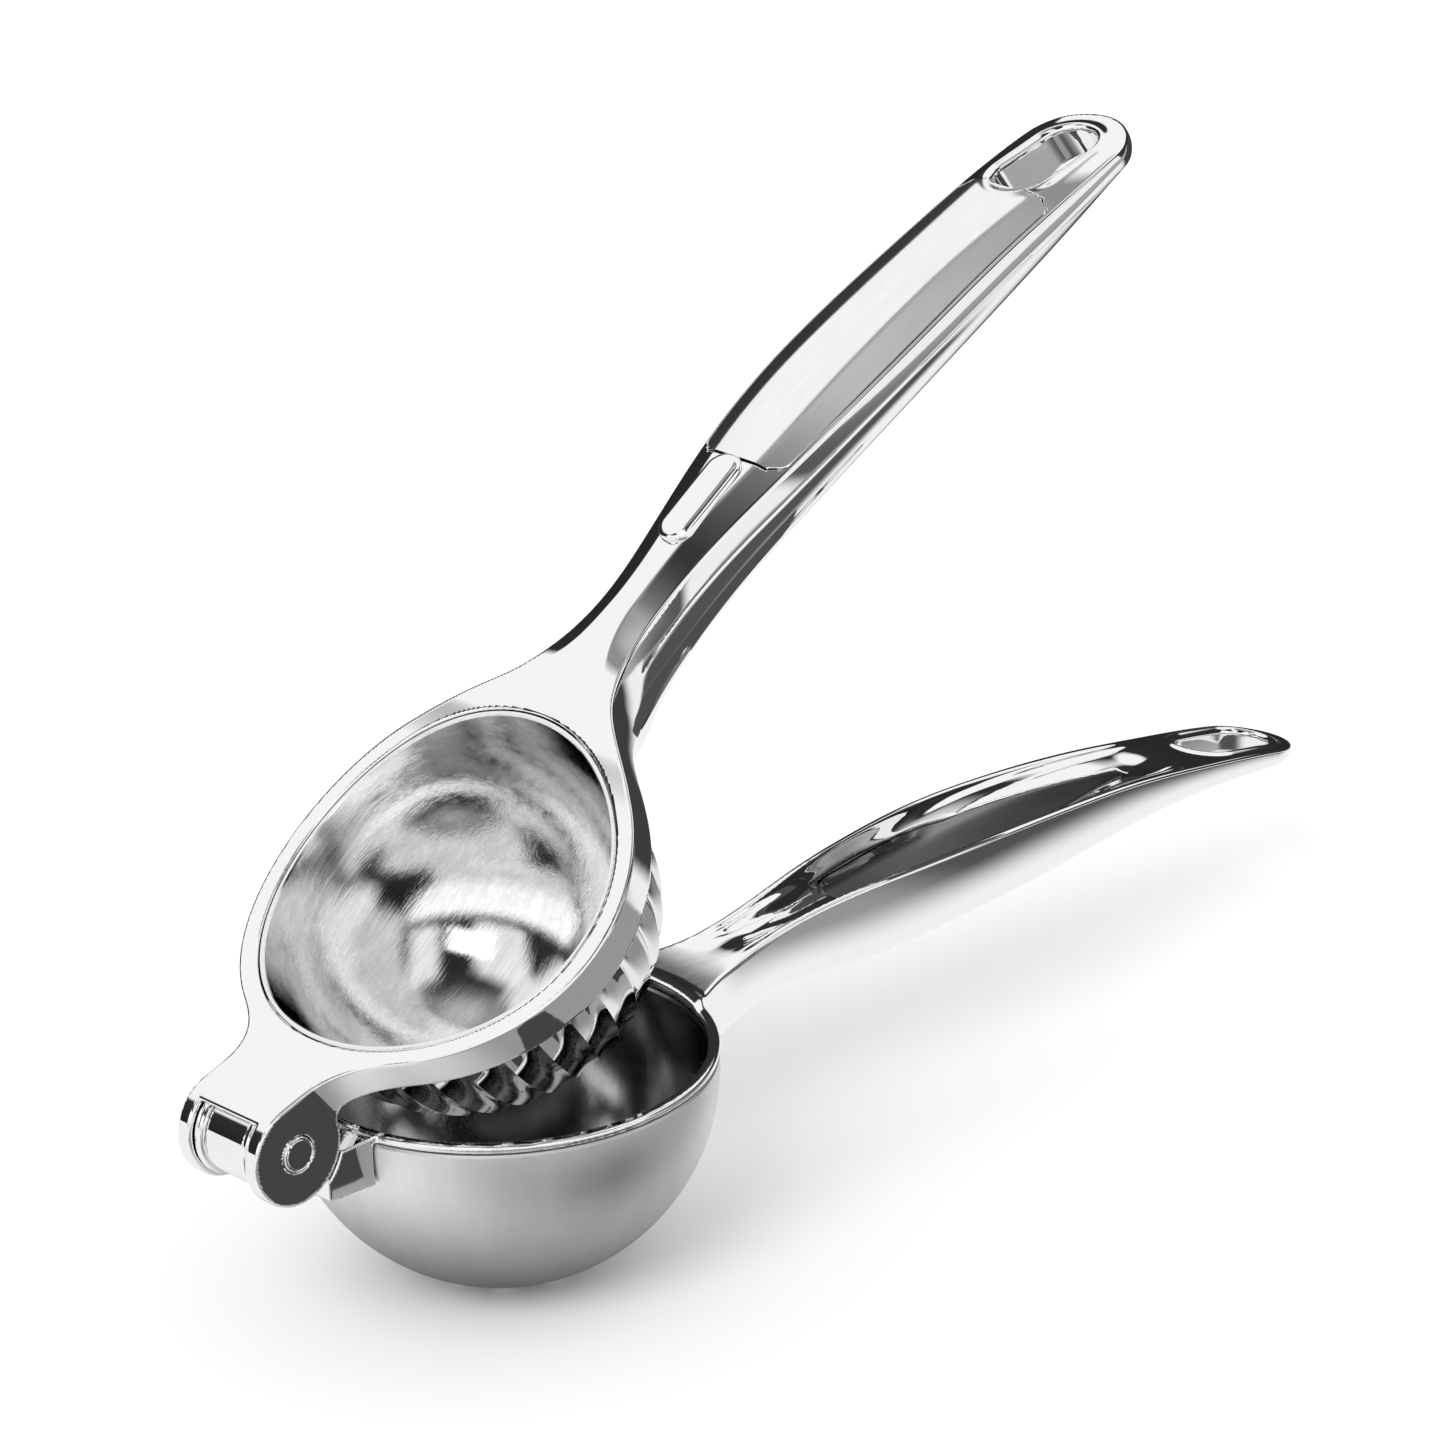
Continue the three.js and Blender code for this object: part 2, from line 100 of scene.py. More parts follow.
def saddle(x):
    """Height of the ring's top: lowest over the cup's middle and rising to both ends."""
    return -1.2 + 5.6 * ((x - RING_X) / RING_OUTER) ** 2


upper_top = curve_through(
    (-12, 13.64), (-2, 10.06), (6, 7.2), (13.8, 4.4), (20, saddle(20)), (27, saddle(27)), (35, saddle(35)),
    (44, saddle(44)), (53, saddle(53)), (62, saddle(62)), (70, saddle(70)), (77, 2.2), (83, 3.3), (88, 3.2),
    (95, 2.4), (104, 1.5), (118.8, 0.9), (135.1, -0.3), (152.9, -2.6), (170.8, -6.2), (193.1, -11.6),
    (213.9, -17.6), (224.3, -21.2), (230.2, -23.8))
upper_half = curve_through(
    (76, 19), (81.6, 15.6), (87, 11.8), (95, 8), (104, 6.4), (118.8, 7.1), (135.1, 9.5), (152.9, 11.2),
    (170.8, 11.5), (193.1, 11), (213.9, 10.6), (224.3, 9.9), (230.2, 9.4))
upper_depth = curve_through(
    (76, 14), (81.6, 15.4), (87, 19.2), (95, 18.6), (104, 16.8), (118.8, 16), (135.1, 15.8), (152.9, 15.6),
    (170.8, 14.9), (193.1, 13.4), (213.9, 10.2), (224.3, 8), (230.2, 6.6))
upper_flat = curve_through(
    (76, 19), (84, 13.2), (89, 7.6), (95, 3.9), (104, 2.3), (118.8, 2.5), (135.1, 4.6), (152.9, 5.6),
    (193.1, 5.4), (213.9, 6.4), (230.2, 7))
lower_top = curve_through(
    (30, -0.5), (35, -0.3), (42.9, 0), (49.1, 0.5), (58.6, 2), (75.9, 4.2), (90, 4.8), (105.7, 5),
    (126.2, 4.2), (145, 2.5), (165.5, -0.7), (181.2, -3.6), (192.2, -6.2))
lower_half = curve_through(
    (30, 13), (35, 11.4), (42.9, 8.2), (49.1, 6.8), (58.6, 6.1), (75.9, 7.8), (90, 9.6), (105.7, 10.8),
    (126.2, 10.7), (145, 9.9), (165.5, 9.2), (181.2, 8.7), (192.2, 8.2))
lower_depth = curve_through(
    (30, 16.8), (35, 16.5), (42.9, 16), (49.1, 14.8), (58.6, 13.6), (75.9, 16.6), (90, 17.8), (105.7, 17.4),
    (126.2, 15.4), (145, 12), (165.5, 8), (181.2, 6), (192.2, 4.6))
upper_neck, lower_neck = (round(2 * float(half), 1) for half in (upper_half(104), lower_half(58.6)))
print("neck is", upper_neck, "mm wide above,", lower_neck, "mm below")

# %% [markdown]
# A cast arm has no separate parts to model: ring, hinge tab, neck and handle run into each other
# with rounded corners. Subdivision modelling could do it by hand. Here the arm is a field, a
# function that is below zero in the metal and above zero outside it, and parts join and cut with
# a rounding in millimetres. Two helpers do all the joining.

# %% Joining and cutting with a rounding
NOSE_LENGTH, SIDE_FULLNESS, LEAST_SLOPE = 9.0, 2.35, 0.06
SLOT_START, SLOT_END, SLOT_HALF = 19.8, 10.2, 5.2


def joined(a, b, rounding):
    share = np.clip(0.5 + 0.5 * (b - a) / rounding, 0, 1)
    return b + (a - b) * share - rounding * share * (1 - share)


def shared(a, b, rounding):
    return -joined(-a, -b, rounding)


def cut(a, b, rounding):
    return shared(a, -b, rounding)


def step_up(x, low, high):
    share = np.clip((x - low) / (high - low), 0, 1)
    return share * share * (3 - 2 * share)


def swell(distance, width):
    """One at distance nought, fading to nothing a few widths away: a bead or a groove."""
    return np.exp(-((distance / width) ** 2))


def handle_body(x, side, z, top, half, depth, tip):
    """A hull under the height top: round across, fuller down its sides, with a nose at the tip."""
    nose = np.clip(1 - (tip - x) / NOSE_LENGTH, 0, None)
    u, v = side / half, np.clip(top - z, 0, None) / depth
    size = np.sqrt(u**2 + v**SIDE_FULLNESS + nose**2) + 1e-6
    fall = SIDE_FULLNESS / 2 * v ** (SIDE_FULLNESS - 1) / depth
    slope = np.sqrt((u / half) ** 2 + fall**2 + (nose / NOSE_LENGTH) ** 2) / size
    return (size - 1) / np.maximum(slope, LEAST_SLOPE)


def long_hole(x, side, tip):
    """The hang slot near a handle's tip: a slot with round ends."""
    along = x - np.clip(x, tip - SLOT_START, tip - SLOT_END)
    return np.hypot(along, side) - SLOT_HALF


print("a corner of two faces, rounded by 1 mm:", joined(0.0, 0.0, 1.0))

# %% [markdown]
# The surface is where the field is zero. Grid lines come first, closer where much changes and
# wider apart along the handles. Then points need a way to slide along the field's slope onto the
# surface. The same slope gives exact shading normals, so the polish reflects without facets.

# %% Grid lines and slopes
def spaced(spans):
    edges = [np.array([spans[0][0]])]
    for start, end, size in spans:
        count = max(2, round((end - start) / (size * CELL)))
        edges.append(np.linspace(start, end, count + 1)[1:])
    return np.concatenate(edges)


def slope_of(field, p, reach=0.06):
    slope = np.empty_like(p)
    for axis in range(3):
        ahead, behind = p.copy(), p.copy()
        ahead[:, axis] += reach
        behind[:, axis] -= reach
        slope[:, axis] = (field(*ahead.T) - field(*behind.T)) / (2 * reach)
    return slope


def settle(field, p, rounds=2):
    for _ in range(rounds):
        slope = slope_of(field, p)
        size = np.maximum((slope**2).sum(1), 0.05)
        move = field(*p.T)[:, None] * slope / size[:, None]
        p = p - np.clip(move, -0.5 * CELL, 0.5 * CELL)
    return p


print("a 10 mm span of the finest cells has", len(spaced([(0, 10, 1)])) - 1, "cells")

# %% [markdown]
# Each cell that the surface crosses gets one corner, and neighbouring cells join into quads: a
# surface net. Marching cubes would do the same with more slivers, and a sliver shows in a mirror
# polish. Only half the grid is worked out, because both arms are the same on their two sides. The
# grid leans and widens with the handle, so that its rows follow the handle's edges.

# %% From a field to a mesh
CORNERS = [(a, b, c) for a in (0, 1) for b in (0, 1) for c in (0, 1)]


def grid_values(field, xs, half_ys, zs, lift, stretch):
    """The field on the whole grid: one half is worked out, a slab at a time, and mirrored."""
    slabs = []
    for part in np.array_split(xs, 12):
        wide, rise = stretch(part)[:, None, None], lift(part)[:, None, None]
        slab = field(part[:, None, None], half_ys[None, :, None] * wide, zs[None, None, :] + rise)
        slabs.append(slab.astype(np.float32))
    half = np.concatenate(slabs)
    return np.concatenate([half[:, :0:-1], half], axis=1)


def crossed_cells(inside):
    count = sum(inside[a : a - 1 or None, b : b - 1 or None, c : c - 1 or None].astype(np.int8)
                for a, b, c in CORNERS)
    return (count > 0) & (count < 8)


def cell_points(values, crossed, place_of):
    """One point in each crossed cell: the middle of the places where its edges meet the surface."""
    i, j, k = np.nonzero(crossed)
    total, hits = np.zeros((len(i), 3)), np.zeros(len(i))
    level = {(a, b, c): values[i + a, j + b, k + c] for a, b, c in CORNERS}
    place = {(a, b, c): place_of(i + a, j + b, k + c) for a, b, c in CORNERS}
    for start in CORNERS:
        for axis in range(3):
            if start[axis]:
                continue
            end = tuple(1 if n == axis else start[n] for n in range(3))
            a, b = level[start], level[end]
            hit = (a < 0) != (b < 0)
            share = np.where(hit, a / np.where(hit, a - b, 1), 0)[:, None]
            total += np.where(hit[:, None], place[start] + (place[end] - place[start]) * share, 0)
            hits += hit
    return total / hits[:, None]


def cell_quads(inside, crossed):
    """A quad round every grid edge that the surface crosses, turned to face out."""
    number = np.full(crossed.shape, -1, np.int64)
    number[crossed] = np.arange(crossed.sum())
    faces = []
    for axis in range(3):
        one, two = (axis + 1) % 3, (axis + 2) % 3
        first = np.moveaxis(inside, (axis, one, two), (0, 1, 2))
        cells = np.moveaxis(number, (axis, one, two), (0, 1, 2))
        a, b, c = np.nonzero(first[1:, 1:-1, 1:-1] != first[:-1, 1:-1, 1:-1])
        quad = np.stack([cells[a, b, c], cells[a, b + 1, c], cells[a, b + 1, c + 1], cells[a, b, c + 1]], 1)
        turned_in = ~first[a, b + 1, c + 1]
        quad[turned_in] = quad[turned_in][:, ::-1]
        faces.append(quad)
    faces = np.concatenate(faces)
    return faces[(faces >= 0).all(1)]


def evened(field, points, faces):
    """Each point moves half way to the middle of its neighbours, then back onto the surface."""
    total, hits = np.zeros_like(points), np.zeros(len(points))
    for n in range(4):
        for other in (1, 3):
            to = faces[:, (n + other) % 4]
            for axis in range(3):
                total[:, axis] += np.bincount(faces[:, n], points[to, axis], len(points))
            hits += np.bincount(faces[:, n], minlength=len(points))
    middle = total / np.maximum(hits, 1)[:, None]
    return settle(field, points + 0.5 * (middle - points))


def surface_of(field, xs, half_ys, zs, lift, stretch):
    """Points, quads and normals. A column at x rises by lift(x) and widens by stretch(x)."""
    ys = np.concatenate([-half_ys[:0:-1], half_ys])
    values = grid_values(field, xs, half_ys, zs, lift, stretch)
    inside = values < 0
    crossed = crossed_cells(inside)

    def place_of(i, j, k):
        return np.stack([xs[i], ys[j] * stretch(xs[i]), zs[k] + lift(xs[i])], 1)

    faces = cell_quads(inside, crossed)
    points = settle(field, cell_points(values, crossed, place_of))
    for _ in range(2):
        points = evened(field, points, faces)
    normal = slope_of(field, points, 0.1)
    normal /= np.maximum(np.linalg.norm(normal, axis=1), 1e-9)[:, None]
    return points, faces, normal


print("a cell has", len(CORNERS), "corners and is", CELL, "mm where the grid is finest")

# %% [markdown]
# A piece is a mesh object in millimetre sizes turned to metres, set in its arm's frame. It rides
# on its body, stands for its node and takes the finish that it is given. Its points also
# remember where they lie in their arm's frame, so that the grain can run along the arm.

# %% Making a piece from points and faces
def remember_place(made, placed):
    back = placed.inverted()
    laid = made.data.attributes.new("laid", "FLOAT_VECTOR", "POINT")
    places = np.array([back @ v.co for v in made.data.vertices], np.float32)
    laid.data.foreach_set("vector", places.ravel())
    return made


def smoothed_to(mesh, crease):
    """Faces point out, and an edge sharper than crease degrees stays sharp."""
    work = bmesh.new()
    work.from_mesh(mesh)
    bmesh.ops.recalc_face_normals(work, faces=work.faces)
    for edge in work.edges:
        edge.smooth = len(edge.link_faces) == 2 and edge.calc_face_angle(0) < math.radians(crease)
    work.to_mesh(mesh)
    work.free()


def new_piece(name, points, faces, materials, placed, normals=None, crease=28, choose=None):
    """normals gives exact shading, else crease does; choose(x, y, z) picks the second material."""
    mesh = bpy.data.meshes.new(name)
    turn, shift = np.array(placed.to_3x3()), np.array(placed.translation)
    mesh.from_pydata((np.asarray(points) * MM @ turn.T + shift).tolist(), [], [list(f) for f in faces])
    for material in materials:
        mesh.materials.append(material)
    mesh.polygons.foreach_set("use_smooth", [True] * len(mesh.polygons))
    if normals is not None:
        mesh.normals_split_custom_set_from_vertices((normals @ turn.T).tolist())
    else:
        smoothed_to(mesh, crease)
    if choose:
        centres = (np.array([p.center for p in mesh.polygons]) - shift) @ turn / MM
        mesh.polygons.foreach_set("material_index", choose(*centres.T).astype(int))
    made = bpy.data.objects.new(name, mesh)
    bpy.context.scene.collection.objects.link(made)
    return remember_place(made, placed)


def settled_on(made, body, node_name):
    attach(made, body)
    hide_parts(node_name)
    print(made.name, "rides on", body + ",", len(made.data.polygons), "faces")
    return made


print("lower arm's frame stands at", [round(v / MM, 1) for v in LOWER_FRAME.translation], "mm")

# %% [markdown]
# Shader node groups hold what several finishes share. `grain lines` draws the fine parallel
# scratches of brushing, longer along one axis. `handling` clouds the polish a little, as fingers
# and cloths do. `worn edges` finds the sharp outside edges, which polish brighter.

# %% Shared effects
def effect(name, inputs, outputs):
    made = bpy.data.node_groups.new(name, "ShaderNodeTree")
    for label, kind, value in inputs:
        made.interface.new_socket(label, in_out="INPUT", socket_type=kind).default_value = value
    for label, kind in outputs:
        made.interface.new_socket(label, in_out="OUTPUT", socket_type=kind)
    return made, made.nodes.new("NodeGroupInput"), made.nodes.new("NodeGroupOutput")


def node(tree, kind, settings=None, **links):
    """A node with its settings and links; a link named i0, i1 or i2 goes to the input of that number."""
    made = tree.nodes.new(kind)
    for key, value in (settings or {}).items():
        if isinstance(key, int) or key in made.inputs:
            made.inputs[key].default_value = value
        else:
            setattr(made, key, value)
    for key, socket in links.items():
        numbered = key[0] == "i" and key[1:].isdigit()
        tree.links.new(socket, made.inputs[int(key[1:]) if numbered else key.replace("_", " ")])
    return made


def mapped(tree, value, start, end, low=0.0, high=1.0, kind="LINEAR"):
    settings = {"interpolation_type": kind, "From Min": start, "From Max": end, "To Min": low, "To Max": high}
    return node(tree, "ShaderNodeMapRange", settings, Value=value).outputs[0]


def product(tree, a, b):
    return node(tree, "ShaderNodeMath", {"operation": "MULTIPLY"}, i0=a, i1=b).outputs[0]


def blend(tree, share, a, b, kind="FLOAT"):
    return node(tree, "ShaderNodeMix", {"data_type": kind}, i0=share, A=a, B=b).outputs["Result"]


def laid_place(tree):
    return node(tree, "ShaderNodeAttribute", {"attribute_name": "laid"}).outputs["Vector"]


def grain_lines():
    tree, given, out = effect("grain lines", [("Stretch", "NodeSocketVector", (60, 2500, 2500))],
                              [("Lines", "NodeSocketFloat")])
    scaled = node(tree, "ShaderNodeVectorMath", {"operation": "MULTIPLY"},
                  i0=laid_place(tree), i1=given.outputs["Stretch"]).outputs[0]
    fine = node(tree, "ShaderNodeTexNoise", {"Scale": 1.0, "Detail": 4.0, "Roughness": 0.65}, Vector=scaled)
    broad = node(tree, "ShaderNodeTexNoise", {"Scale": 0.23, "Detail": 2.0}, Vector=scaled)
    both = product(tree, fine.outputs[0], broad.outputs[0])
    tree.links.new(mapped(tree, both, 0.12, 0.42), out.inputs["Lines"])
    return tree


def handling():
    tree, given, out = effect("handling", [("Low", "NodeSocketFloat", 0.02),
                                           ("High", "NodeSocketFloat", 0.06)],
                              [("Roughness", "NodeSocketFloat")])
    place = laid_place(tree)
    cloud = node(tree, "ShaderNodeTexNoise", {"Scale": 40.0, "Detail": 5.0, "Roughness": 0.6}, Vector=place)
    speck = node(tree, "ShaderNodeTexNoise", {"Scale": 1500.0, "Detail": 2.0}, Vector=place)
    mixed = node(tree, "ShaderNodeMath", {"operation": "MULTIPLY_ADD", 1: 0.25},
                 i0=speck.outputs[0], i2=cloud.outputs[0])
    spread = node(tree, "ShaderNodeMapRange", {"From Min": 0.45, "From Max": 0.85},
                  Value=mixed.outputs[0], To_Min=given.outputs["Low"], To_Max=given.outputs["High"])
    tree.links.new(spread.outputs[0], out.inputs["Roughness"])
    return tree


def worn_edges():
    tree, given, out = effect("worn edges", [("Metal", "NodeSocketColor", (0.8, 0.8, 0.8, 1)),
                                             ("Worn", "NodeSocketColor", (1, 1, 1, 1)),
                                             ("Amount", "NodeSocketFloat", 0.6)],
                              [("Color", "NodeSocketColor")])
    edge = mapped(tree, node(tree, "ShaderNodeNewGeometry").outputs["Pointiness"], 0.52, 0.62)
    much = product(tree, edge, given.outputs["Amount"])
    coloured = blend(tree, much, given.outputs["Metal"], given.outputs["Worn"], "RGBA")
    tree.links.new(coloured, out.inputs["Color"])
    return tree


GRAIN, HANDLING, WORN = grain_lines(), handling(), worn_edges()
print("effects:", GRAIN.name + ",", HANDLING.name + ",", WORN.name)

# %% [markdown]
# Every finish is bare metal, so one recipe makes them all: a Principled shader at full metal,
# with its colour from the worn edges, its roughness from the handling and a faint relief from
# the grain. Only the numbers differ between a mirror polish, a brushed cup and a satin bowl.

# %% Finishes
WORN_GAIN = 1.12


def finish(name, tone, rough, stretch, depth, worn=0.5, lines_tone=0.0):
    """rough is lowest and highest roughness, depth the grain's in mm, lines_tone how dark it is."""
    made = bpy.data.materials.new(name)
    made.use_nodes = True
    tree = made.node_tree
    shader = tree.nodes["Principled BSDF"]
    shader.inputs["Metallic"].default_value = 1.0
    lines, cloud, edge = (tree.nodes.new("ShaderNodeGroup") for _ in range(3))
    lines.node_tree, cloud.node_tree, edge.node_tree = GRAIN, HANDLING, WORN
    lines.inputs["Stretch"].default_value = stretch
    cloud.inputs["Low"].default_value, cloud.inputs["High"].default_value = rough
    bright = min(1, tone * WORN_GAIN)
    edge.inputs["Metal"].default_value = (tone, tone, tone, 1)
    edge.inputs["Worn"].default_value = (bright, bright, bright, 1)
    edge.inputs["Amount"].default_value = worn
    streak = mapped(tree, lines.outputs["Lines"], 0.0, 1.0, 1 - lines_tone, 1.0)
    shade = node(tree, "ShaderNodeVectorMath", {"operation": "SCALE"}, i0=edge.outputs["Color"], Scale=streak)
    relief = {"Strength": 1.0, "Distance": depth * MM}
    bump = node(tree, "ShaderNodeBump", relief, Height=lines.outputs["Lines"])
    tree.links.new(shade.outputs[0], shader.inputs["Base Color"])
    tree.links.new(cloud.outputs["Roughness"], shader.inputs["Roughness"])
    tree.links.new(bump.outputs[0], shader.inputs["Normal"])
    return made


polished = finish("polished casting", 0.9, (0.02, 0.06), (25, 60, 60), 0.012, worn=0.4)
fluted = finish("polished flutes", 0.8, (0.03, 0.06), (60, 200, 200), 0.004, worn=0.6)
brushed = finish("brushed cup", 0.9, (0.03, 0.06), (70, 2600, 2600), 0.01, lines_tone=0.25)
satin = finish("satin bowl", 0.86, (0.42, 0.48), (900, 900, 260), 0.006, lines_tone=0.06)
# The inside's low tone is painted shade in the bowl's hollow.
bowl_inside_painted_shade = finish("brushed bowl inside with painted shade", 0.42, (0.12, 0.18), (700, 700, 40), 0.01, lines_tone=0.15)
panel_metal = finish("satin grip plate", 0.93, (0.18, 0.22), (90, 1800, 1800), 0.002, lines_tone=0.06)
# The lower plate's low tone is a painted dark reflection.
plate_painted_dark_reflection = finish("grip plate with painted dark reflection", 0.24, (0.2, 0.26), (90, 1500, 1500), 0.002, lines_tone=0.15)
pin_steel = finish("hinge pin steel", 0.84, (0.05, 0.1), (1200, 300, 1200), 0.003)
print("finishes:", len(bpy.data.materials))

# %% [markdown]
# The upper arm is the one that the palm presses. Its handle has a flat crown that falls away in a
# bevel on each side, with a low bead round the hang slot and a shallow recess for the grip plate.
# The plate's own outline comes from the same functions later, so plate and recess always fit.

# %% Upper handle's crown and recess
BEVEL_FALL, CROWN_ROUNDING = 0.46, 0.7
SLOT_BEAD, BEAD_WIDTH = 0.55, 0.8
PANEL_FROM, PANEL_TO, PANEL_END = 136.4, 206.0, 3.5
PANEL_DEEP, PANEL_GAP, PANEL_EDGE, PANEL_CORNER = 1.3, 0.12, 0.75, 2.2


def upper_roof(x, side):
    tilt = BEVEL_FALL * step_up(x, 84, 104) * (1 - 0.6 * step_up(x, 206, 224))
    half, flat = upper_half(x), upper_flat(x)
    away = -joined(-(side - flat), 0.0, CROWN_ROUNDING)
    bead = SLOT_BEAD * swell(long_hole(x, side, UPPER_TIP) - 1.1, BEAD_WIDTH) * step_up(x, 196, 203)
    return upper_top(x) + tilt * (half - flat) - tilt * away + bead


def panel_half(x):
    far_end = step_up(x, PANEL_TO - PANEL_END, PANEL_TO) ** 3
    near_end = (1 - step_up(x, PANEL_FROM, PANEL_FROM + PANEL_END)) ** 3
    return upper_half(x) - PANEL_EDGE - PANEL_CORNER * far_end - PANEL_CORNER * near_end


def panel_recess(x, side, z, roof):
    across = np.maximum(side - panel_half(x) - PANEL_GAP, roof - PANEL_DEEP - z)
    return np.maximum(across, np.maximum(PANEL_FROM - PANEL_GAP - x, x - PANEL_TO - PANEL_GAP))


print("grip plate is", PANEL_TO - PANEL_FROM, "mm long,", round(2 * float(panel_half(170)), 1), "mm wide")

# %% [markdown]
# The upper arm is one casting: a ring with a saddle-shaped top, a tab with two ears at the hinge,
# and the handle. It is a field because bevels, ring and neck melt into each other here. A line
# runs along the handle's side where its upper band ends, and the slot between the ears leaves
# room for barrel and washers.

# %% Upper arm
TAB_START, TAB_END, NECK_START = 4.0, 30.0, 79.0
BAND_HEIGHT, BAND_EDGE, BAND_DRAFT, BAND_STEP = 4.6, 0.12, 0.09, 0.25
GROOVE_DEEP, GROOVE_WIDTH = 0.5, 0.4
FORK_ROOM, FORK_REACH, PIN_BORE, CUP_ROOM = 8.05, 16.0, 3.1, 33.0
USUAL_HALF = 10.6


def ring_and_ears(x, side, z, from_cup, floor):
    plan = joined(from_cup - RING_OUTER, shared(side - FORK_HALF, x - TAB_END, 1), 9)
    profile = joined(np.hypot(x, z) - EAR_RADIUS, shared(floor - z, TAB_START - x, 0.5), 3.5)
    return shared(plan, profile, 0.4)


def upper_handle(x, side, z, top):
    under = step_up(top - z, BAND_HEIGHT - BAND_EDGE, BAND_HEIGHT + BAND_EDGE)
    groove = GROOVE_DEEP * swell(top - BAND_HEIGHT - z, GROOVE_WIDTH)
    draft = BAND_DRAFT * (1 - under) * np.clip(top - z, 0, BAND_HEIGHT)
    half = upper_half(x) + (draft - BAND_STEP * under - groove) * step_up(x, 96, 106)
    return shared(handle_body(x, side, z, top, half, upper_depth(x), UPPER_TIP), NECK_START - x, 4)


def fork_slot(x, side, z):
    mouth = joined(np.maximum(z, x - FORK_REACH), np.maximum(x + 1.0, -1 - z), 0.6)
    return np.maximum(joined(np.hypot(x, z) - FORK_ROOM, mouth, 0.6), side - GAP_HALF)


def upper_arm_field(x, y, z):
    side, from_cup = np.abs(y), np.hypot(x - RING_X, y)
    top, roof = upper_top(x), upper_roof(x, side)
    floor = top - RING_HEIGHT
    body = joined(ring_and_ears(x, side, z, from_cup, floor), upper_handle(x, side, z, top), 6)
    body = shared(body, z - roof, 0.5)
    body = cut(body, from_cup - RING_BORE, 0.3)
    body = cut(body, np.maximum(from_cup - CUP_ROOM, z - floor), 0.5)
    body = cut(body, fork_slot(x, side, z), 0.7)
    body = cut(body, np.hypot(x, z) - PIN_BORE, 0.12)
    body = cut(body, panel_recess(x, side, z, roof), 0.15)
    return cut(body, long_hole(x, side, UPPER_TIP), 1.1)


def upper_width(x):
    """How much wider than the grid's own width the handle is at x."""
    return 1 + (upper_half(x) / USUAL_HALF - 1) * step_up(x, 96, 112)


xs = spaced([(-10, 20, 1), (20, 78, 1.1), (78, 112, 1), (112, 196, 2.4), (196, 231.5, 1)])
ys, zs = spaced([(0, 37, 1)]), spaced([(-24, 5.2, 1)])
points, faces, normals = surface_of(upper_arm_field, xs, ys, zs, upper_top, upper_width)
upper_arm = new_piece("upper_arm_casting", points, faces, [polished], UPPER_FRAME, normals)
settled_on(upper_arm, "upper", "upper_arm")

# %% [markdown]
# The lower arm's handle is cast as a long trough. The trough's floor is leaf shaped and rises
# towards the tip, so its walls change from steep to shallow. Two lists of stations give its
# depth and its floor's width, and the roof function puts walls, ledge and a fine line round them.

# %% Lower handle's trough
TROUGH_RIM, TROUGH_LEDGE, RIM_LINE = 1.25, 0.35, 0.3
LOWER_BEAD = 0.5
LEAF_FROM, LEAF_TO, LEAF_GAP, LEAF_DEEP = 77.5, 150.0, 0.2, 1.0
trough_deep = curve_through(
    (44, 0), (50, 0.15), (58, 1.2), (68, 2.8), (80, 3.8), (95, 4.0), (110, 3.6), (128, 2.7), (145, 1.7),
    (153, 1.15), (158, 0.4), (163, 0))
floor_half = curve_through(
    (44, 0.4), (58, 0.8), (66, 2.4), (74, 4.6), (84, 6.7), (96, 7.9), (108, 7.8), (122, 6.2), (136, 3.9),
    (148, 1.5), (158, 0.6))


def lower_roof(x, side):
    inward = lower_half(x) - TROUGH_RIM - side
    fall = np.clip(inward / (lower_half(x) - TROUGH_RIM - floor_half(x)), -0.2, 1.2)
    fall = joined(-joined(-fall, 0.0, 0.12), 1.0, 0.2)
    within = step_up(trough_deep(x), 0.1, 1.2)
    ledge = TROUGH_LEDGE * within * step_up(inward, 0.0, 0.5)
    line = RIM_LINE * within * (swell(inward - 1.3, 0.4) - swell(inward - 2.3, 0.35))
    lip = LOWER_BEAD * swell(long_hole(x, side, LOWER_TIP) - 1.0, BEAD_WIDTH) * step_up(x, 160, 166)
    return lower_top(x) - trough_deep(x) * fall - ledge + line + lip


print("trough is", round(float(trough_deep(95)), 1), "mm deep where it is deepest")

# %% [markdown]
# The rest of the lower arm is a thin rim that carries the bowl, and a block with a barrel at the
# hinge. The block is cut back round the pin, so that the ears can swing past it.

# %% Lower arm
BLOCK_HALF, BLOCK_TOP, BLOCK_BOTTOM, BLOCK_DRAFT = 8.9, 0.3, 8.2, 0.07
BLOCK_START, BLOCK_MIDDLE, BLOCK_END = -44.6, -44.0, -30.0
EAR_ROOM, BARREL_BORE, BOWL_GAP = 9.7, 3.2, 0.3
BARREL_RISE = 9.5


def hinge_block(x, side, z, from_pin):
    bottom = -BLOCK_BOTTOM - BLOCK_DRAFT * (x - BLOCK_MIDDLE)
    block = shared(side - BLOCK_HALF, np.maximum(z + BLOCK_TOP, bottom - z), 0.25)
    block = shared(block, np.maximum(BLOCK_START - x, x - BLOCK_END), 0.3)
    block = cut(block, np.maximum(from_pin - EAR_ROOM, BARREL_HALF - side), 0.4)
    barrel = shared(from_pin - BARREL_RADIUS, side - BARREL_HALF, 0.25)
    return joined(block, barrel, 1.2)


def leaf_recess(x, side, z, roof):
    across = np.maximum(side - floor_half(x) - LEAF_GAP, roof - LEAF_DEEP - z)
    return np.maximum(across, np.maximum(LEAF_FROM - LEAF_GAP - x, x - LEAF_TO - LEAF_GAP))


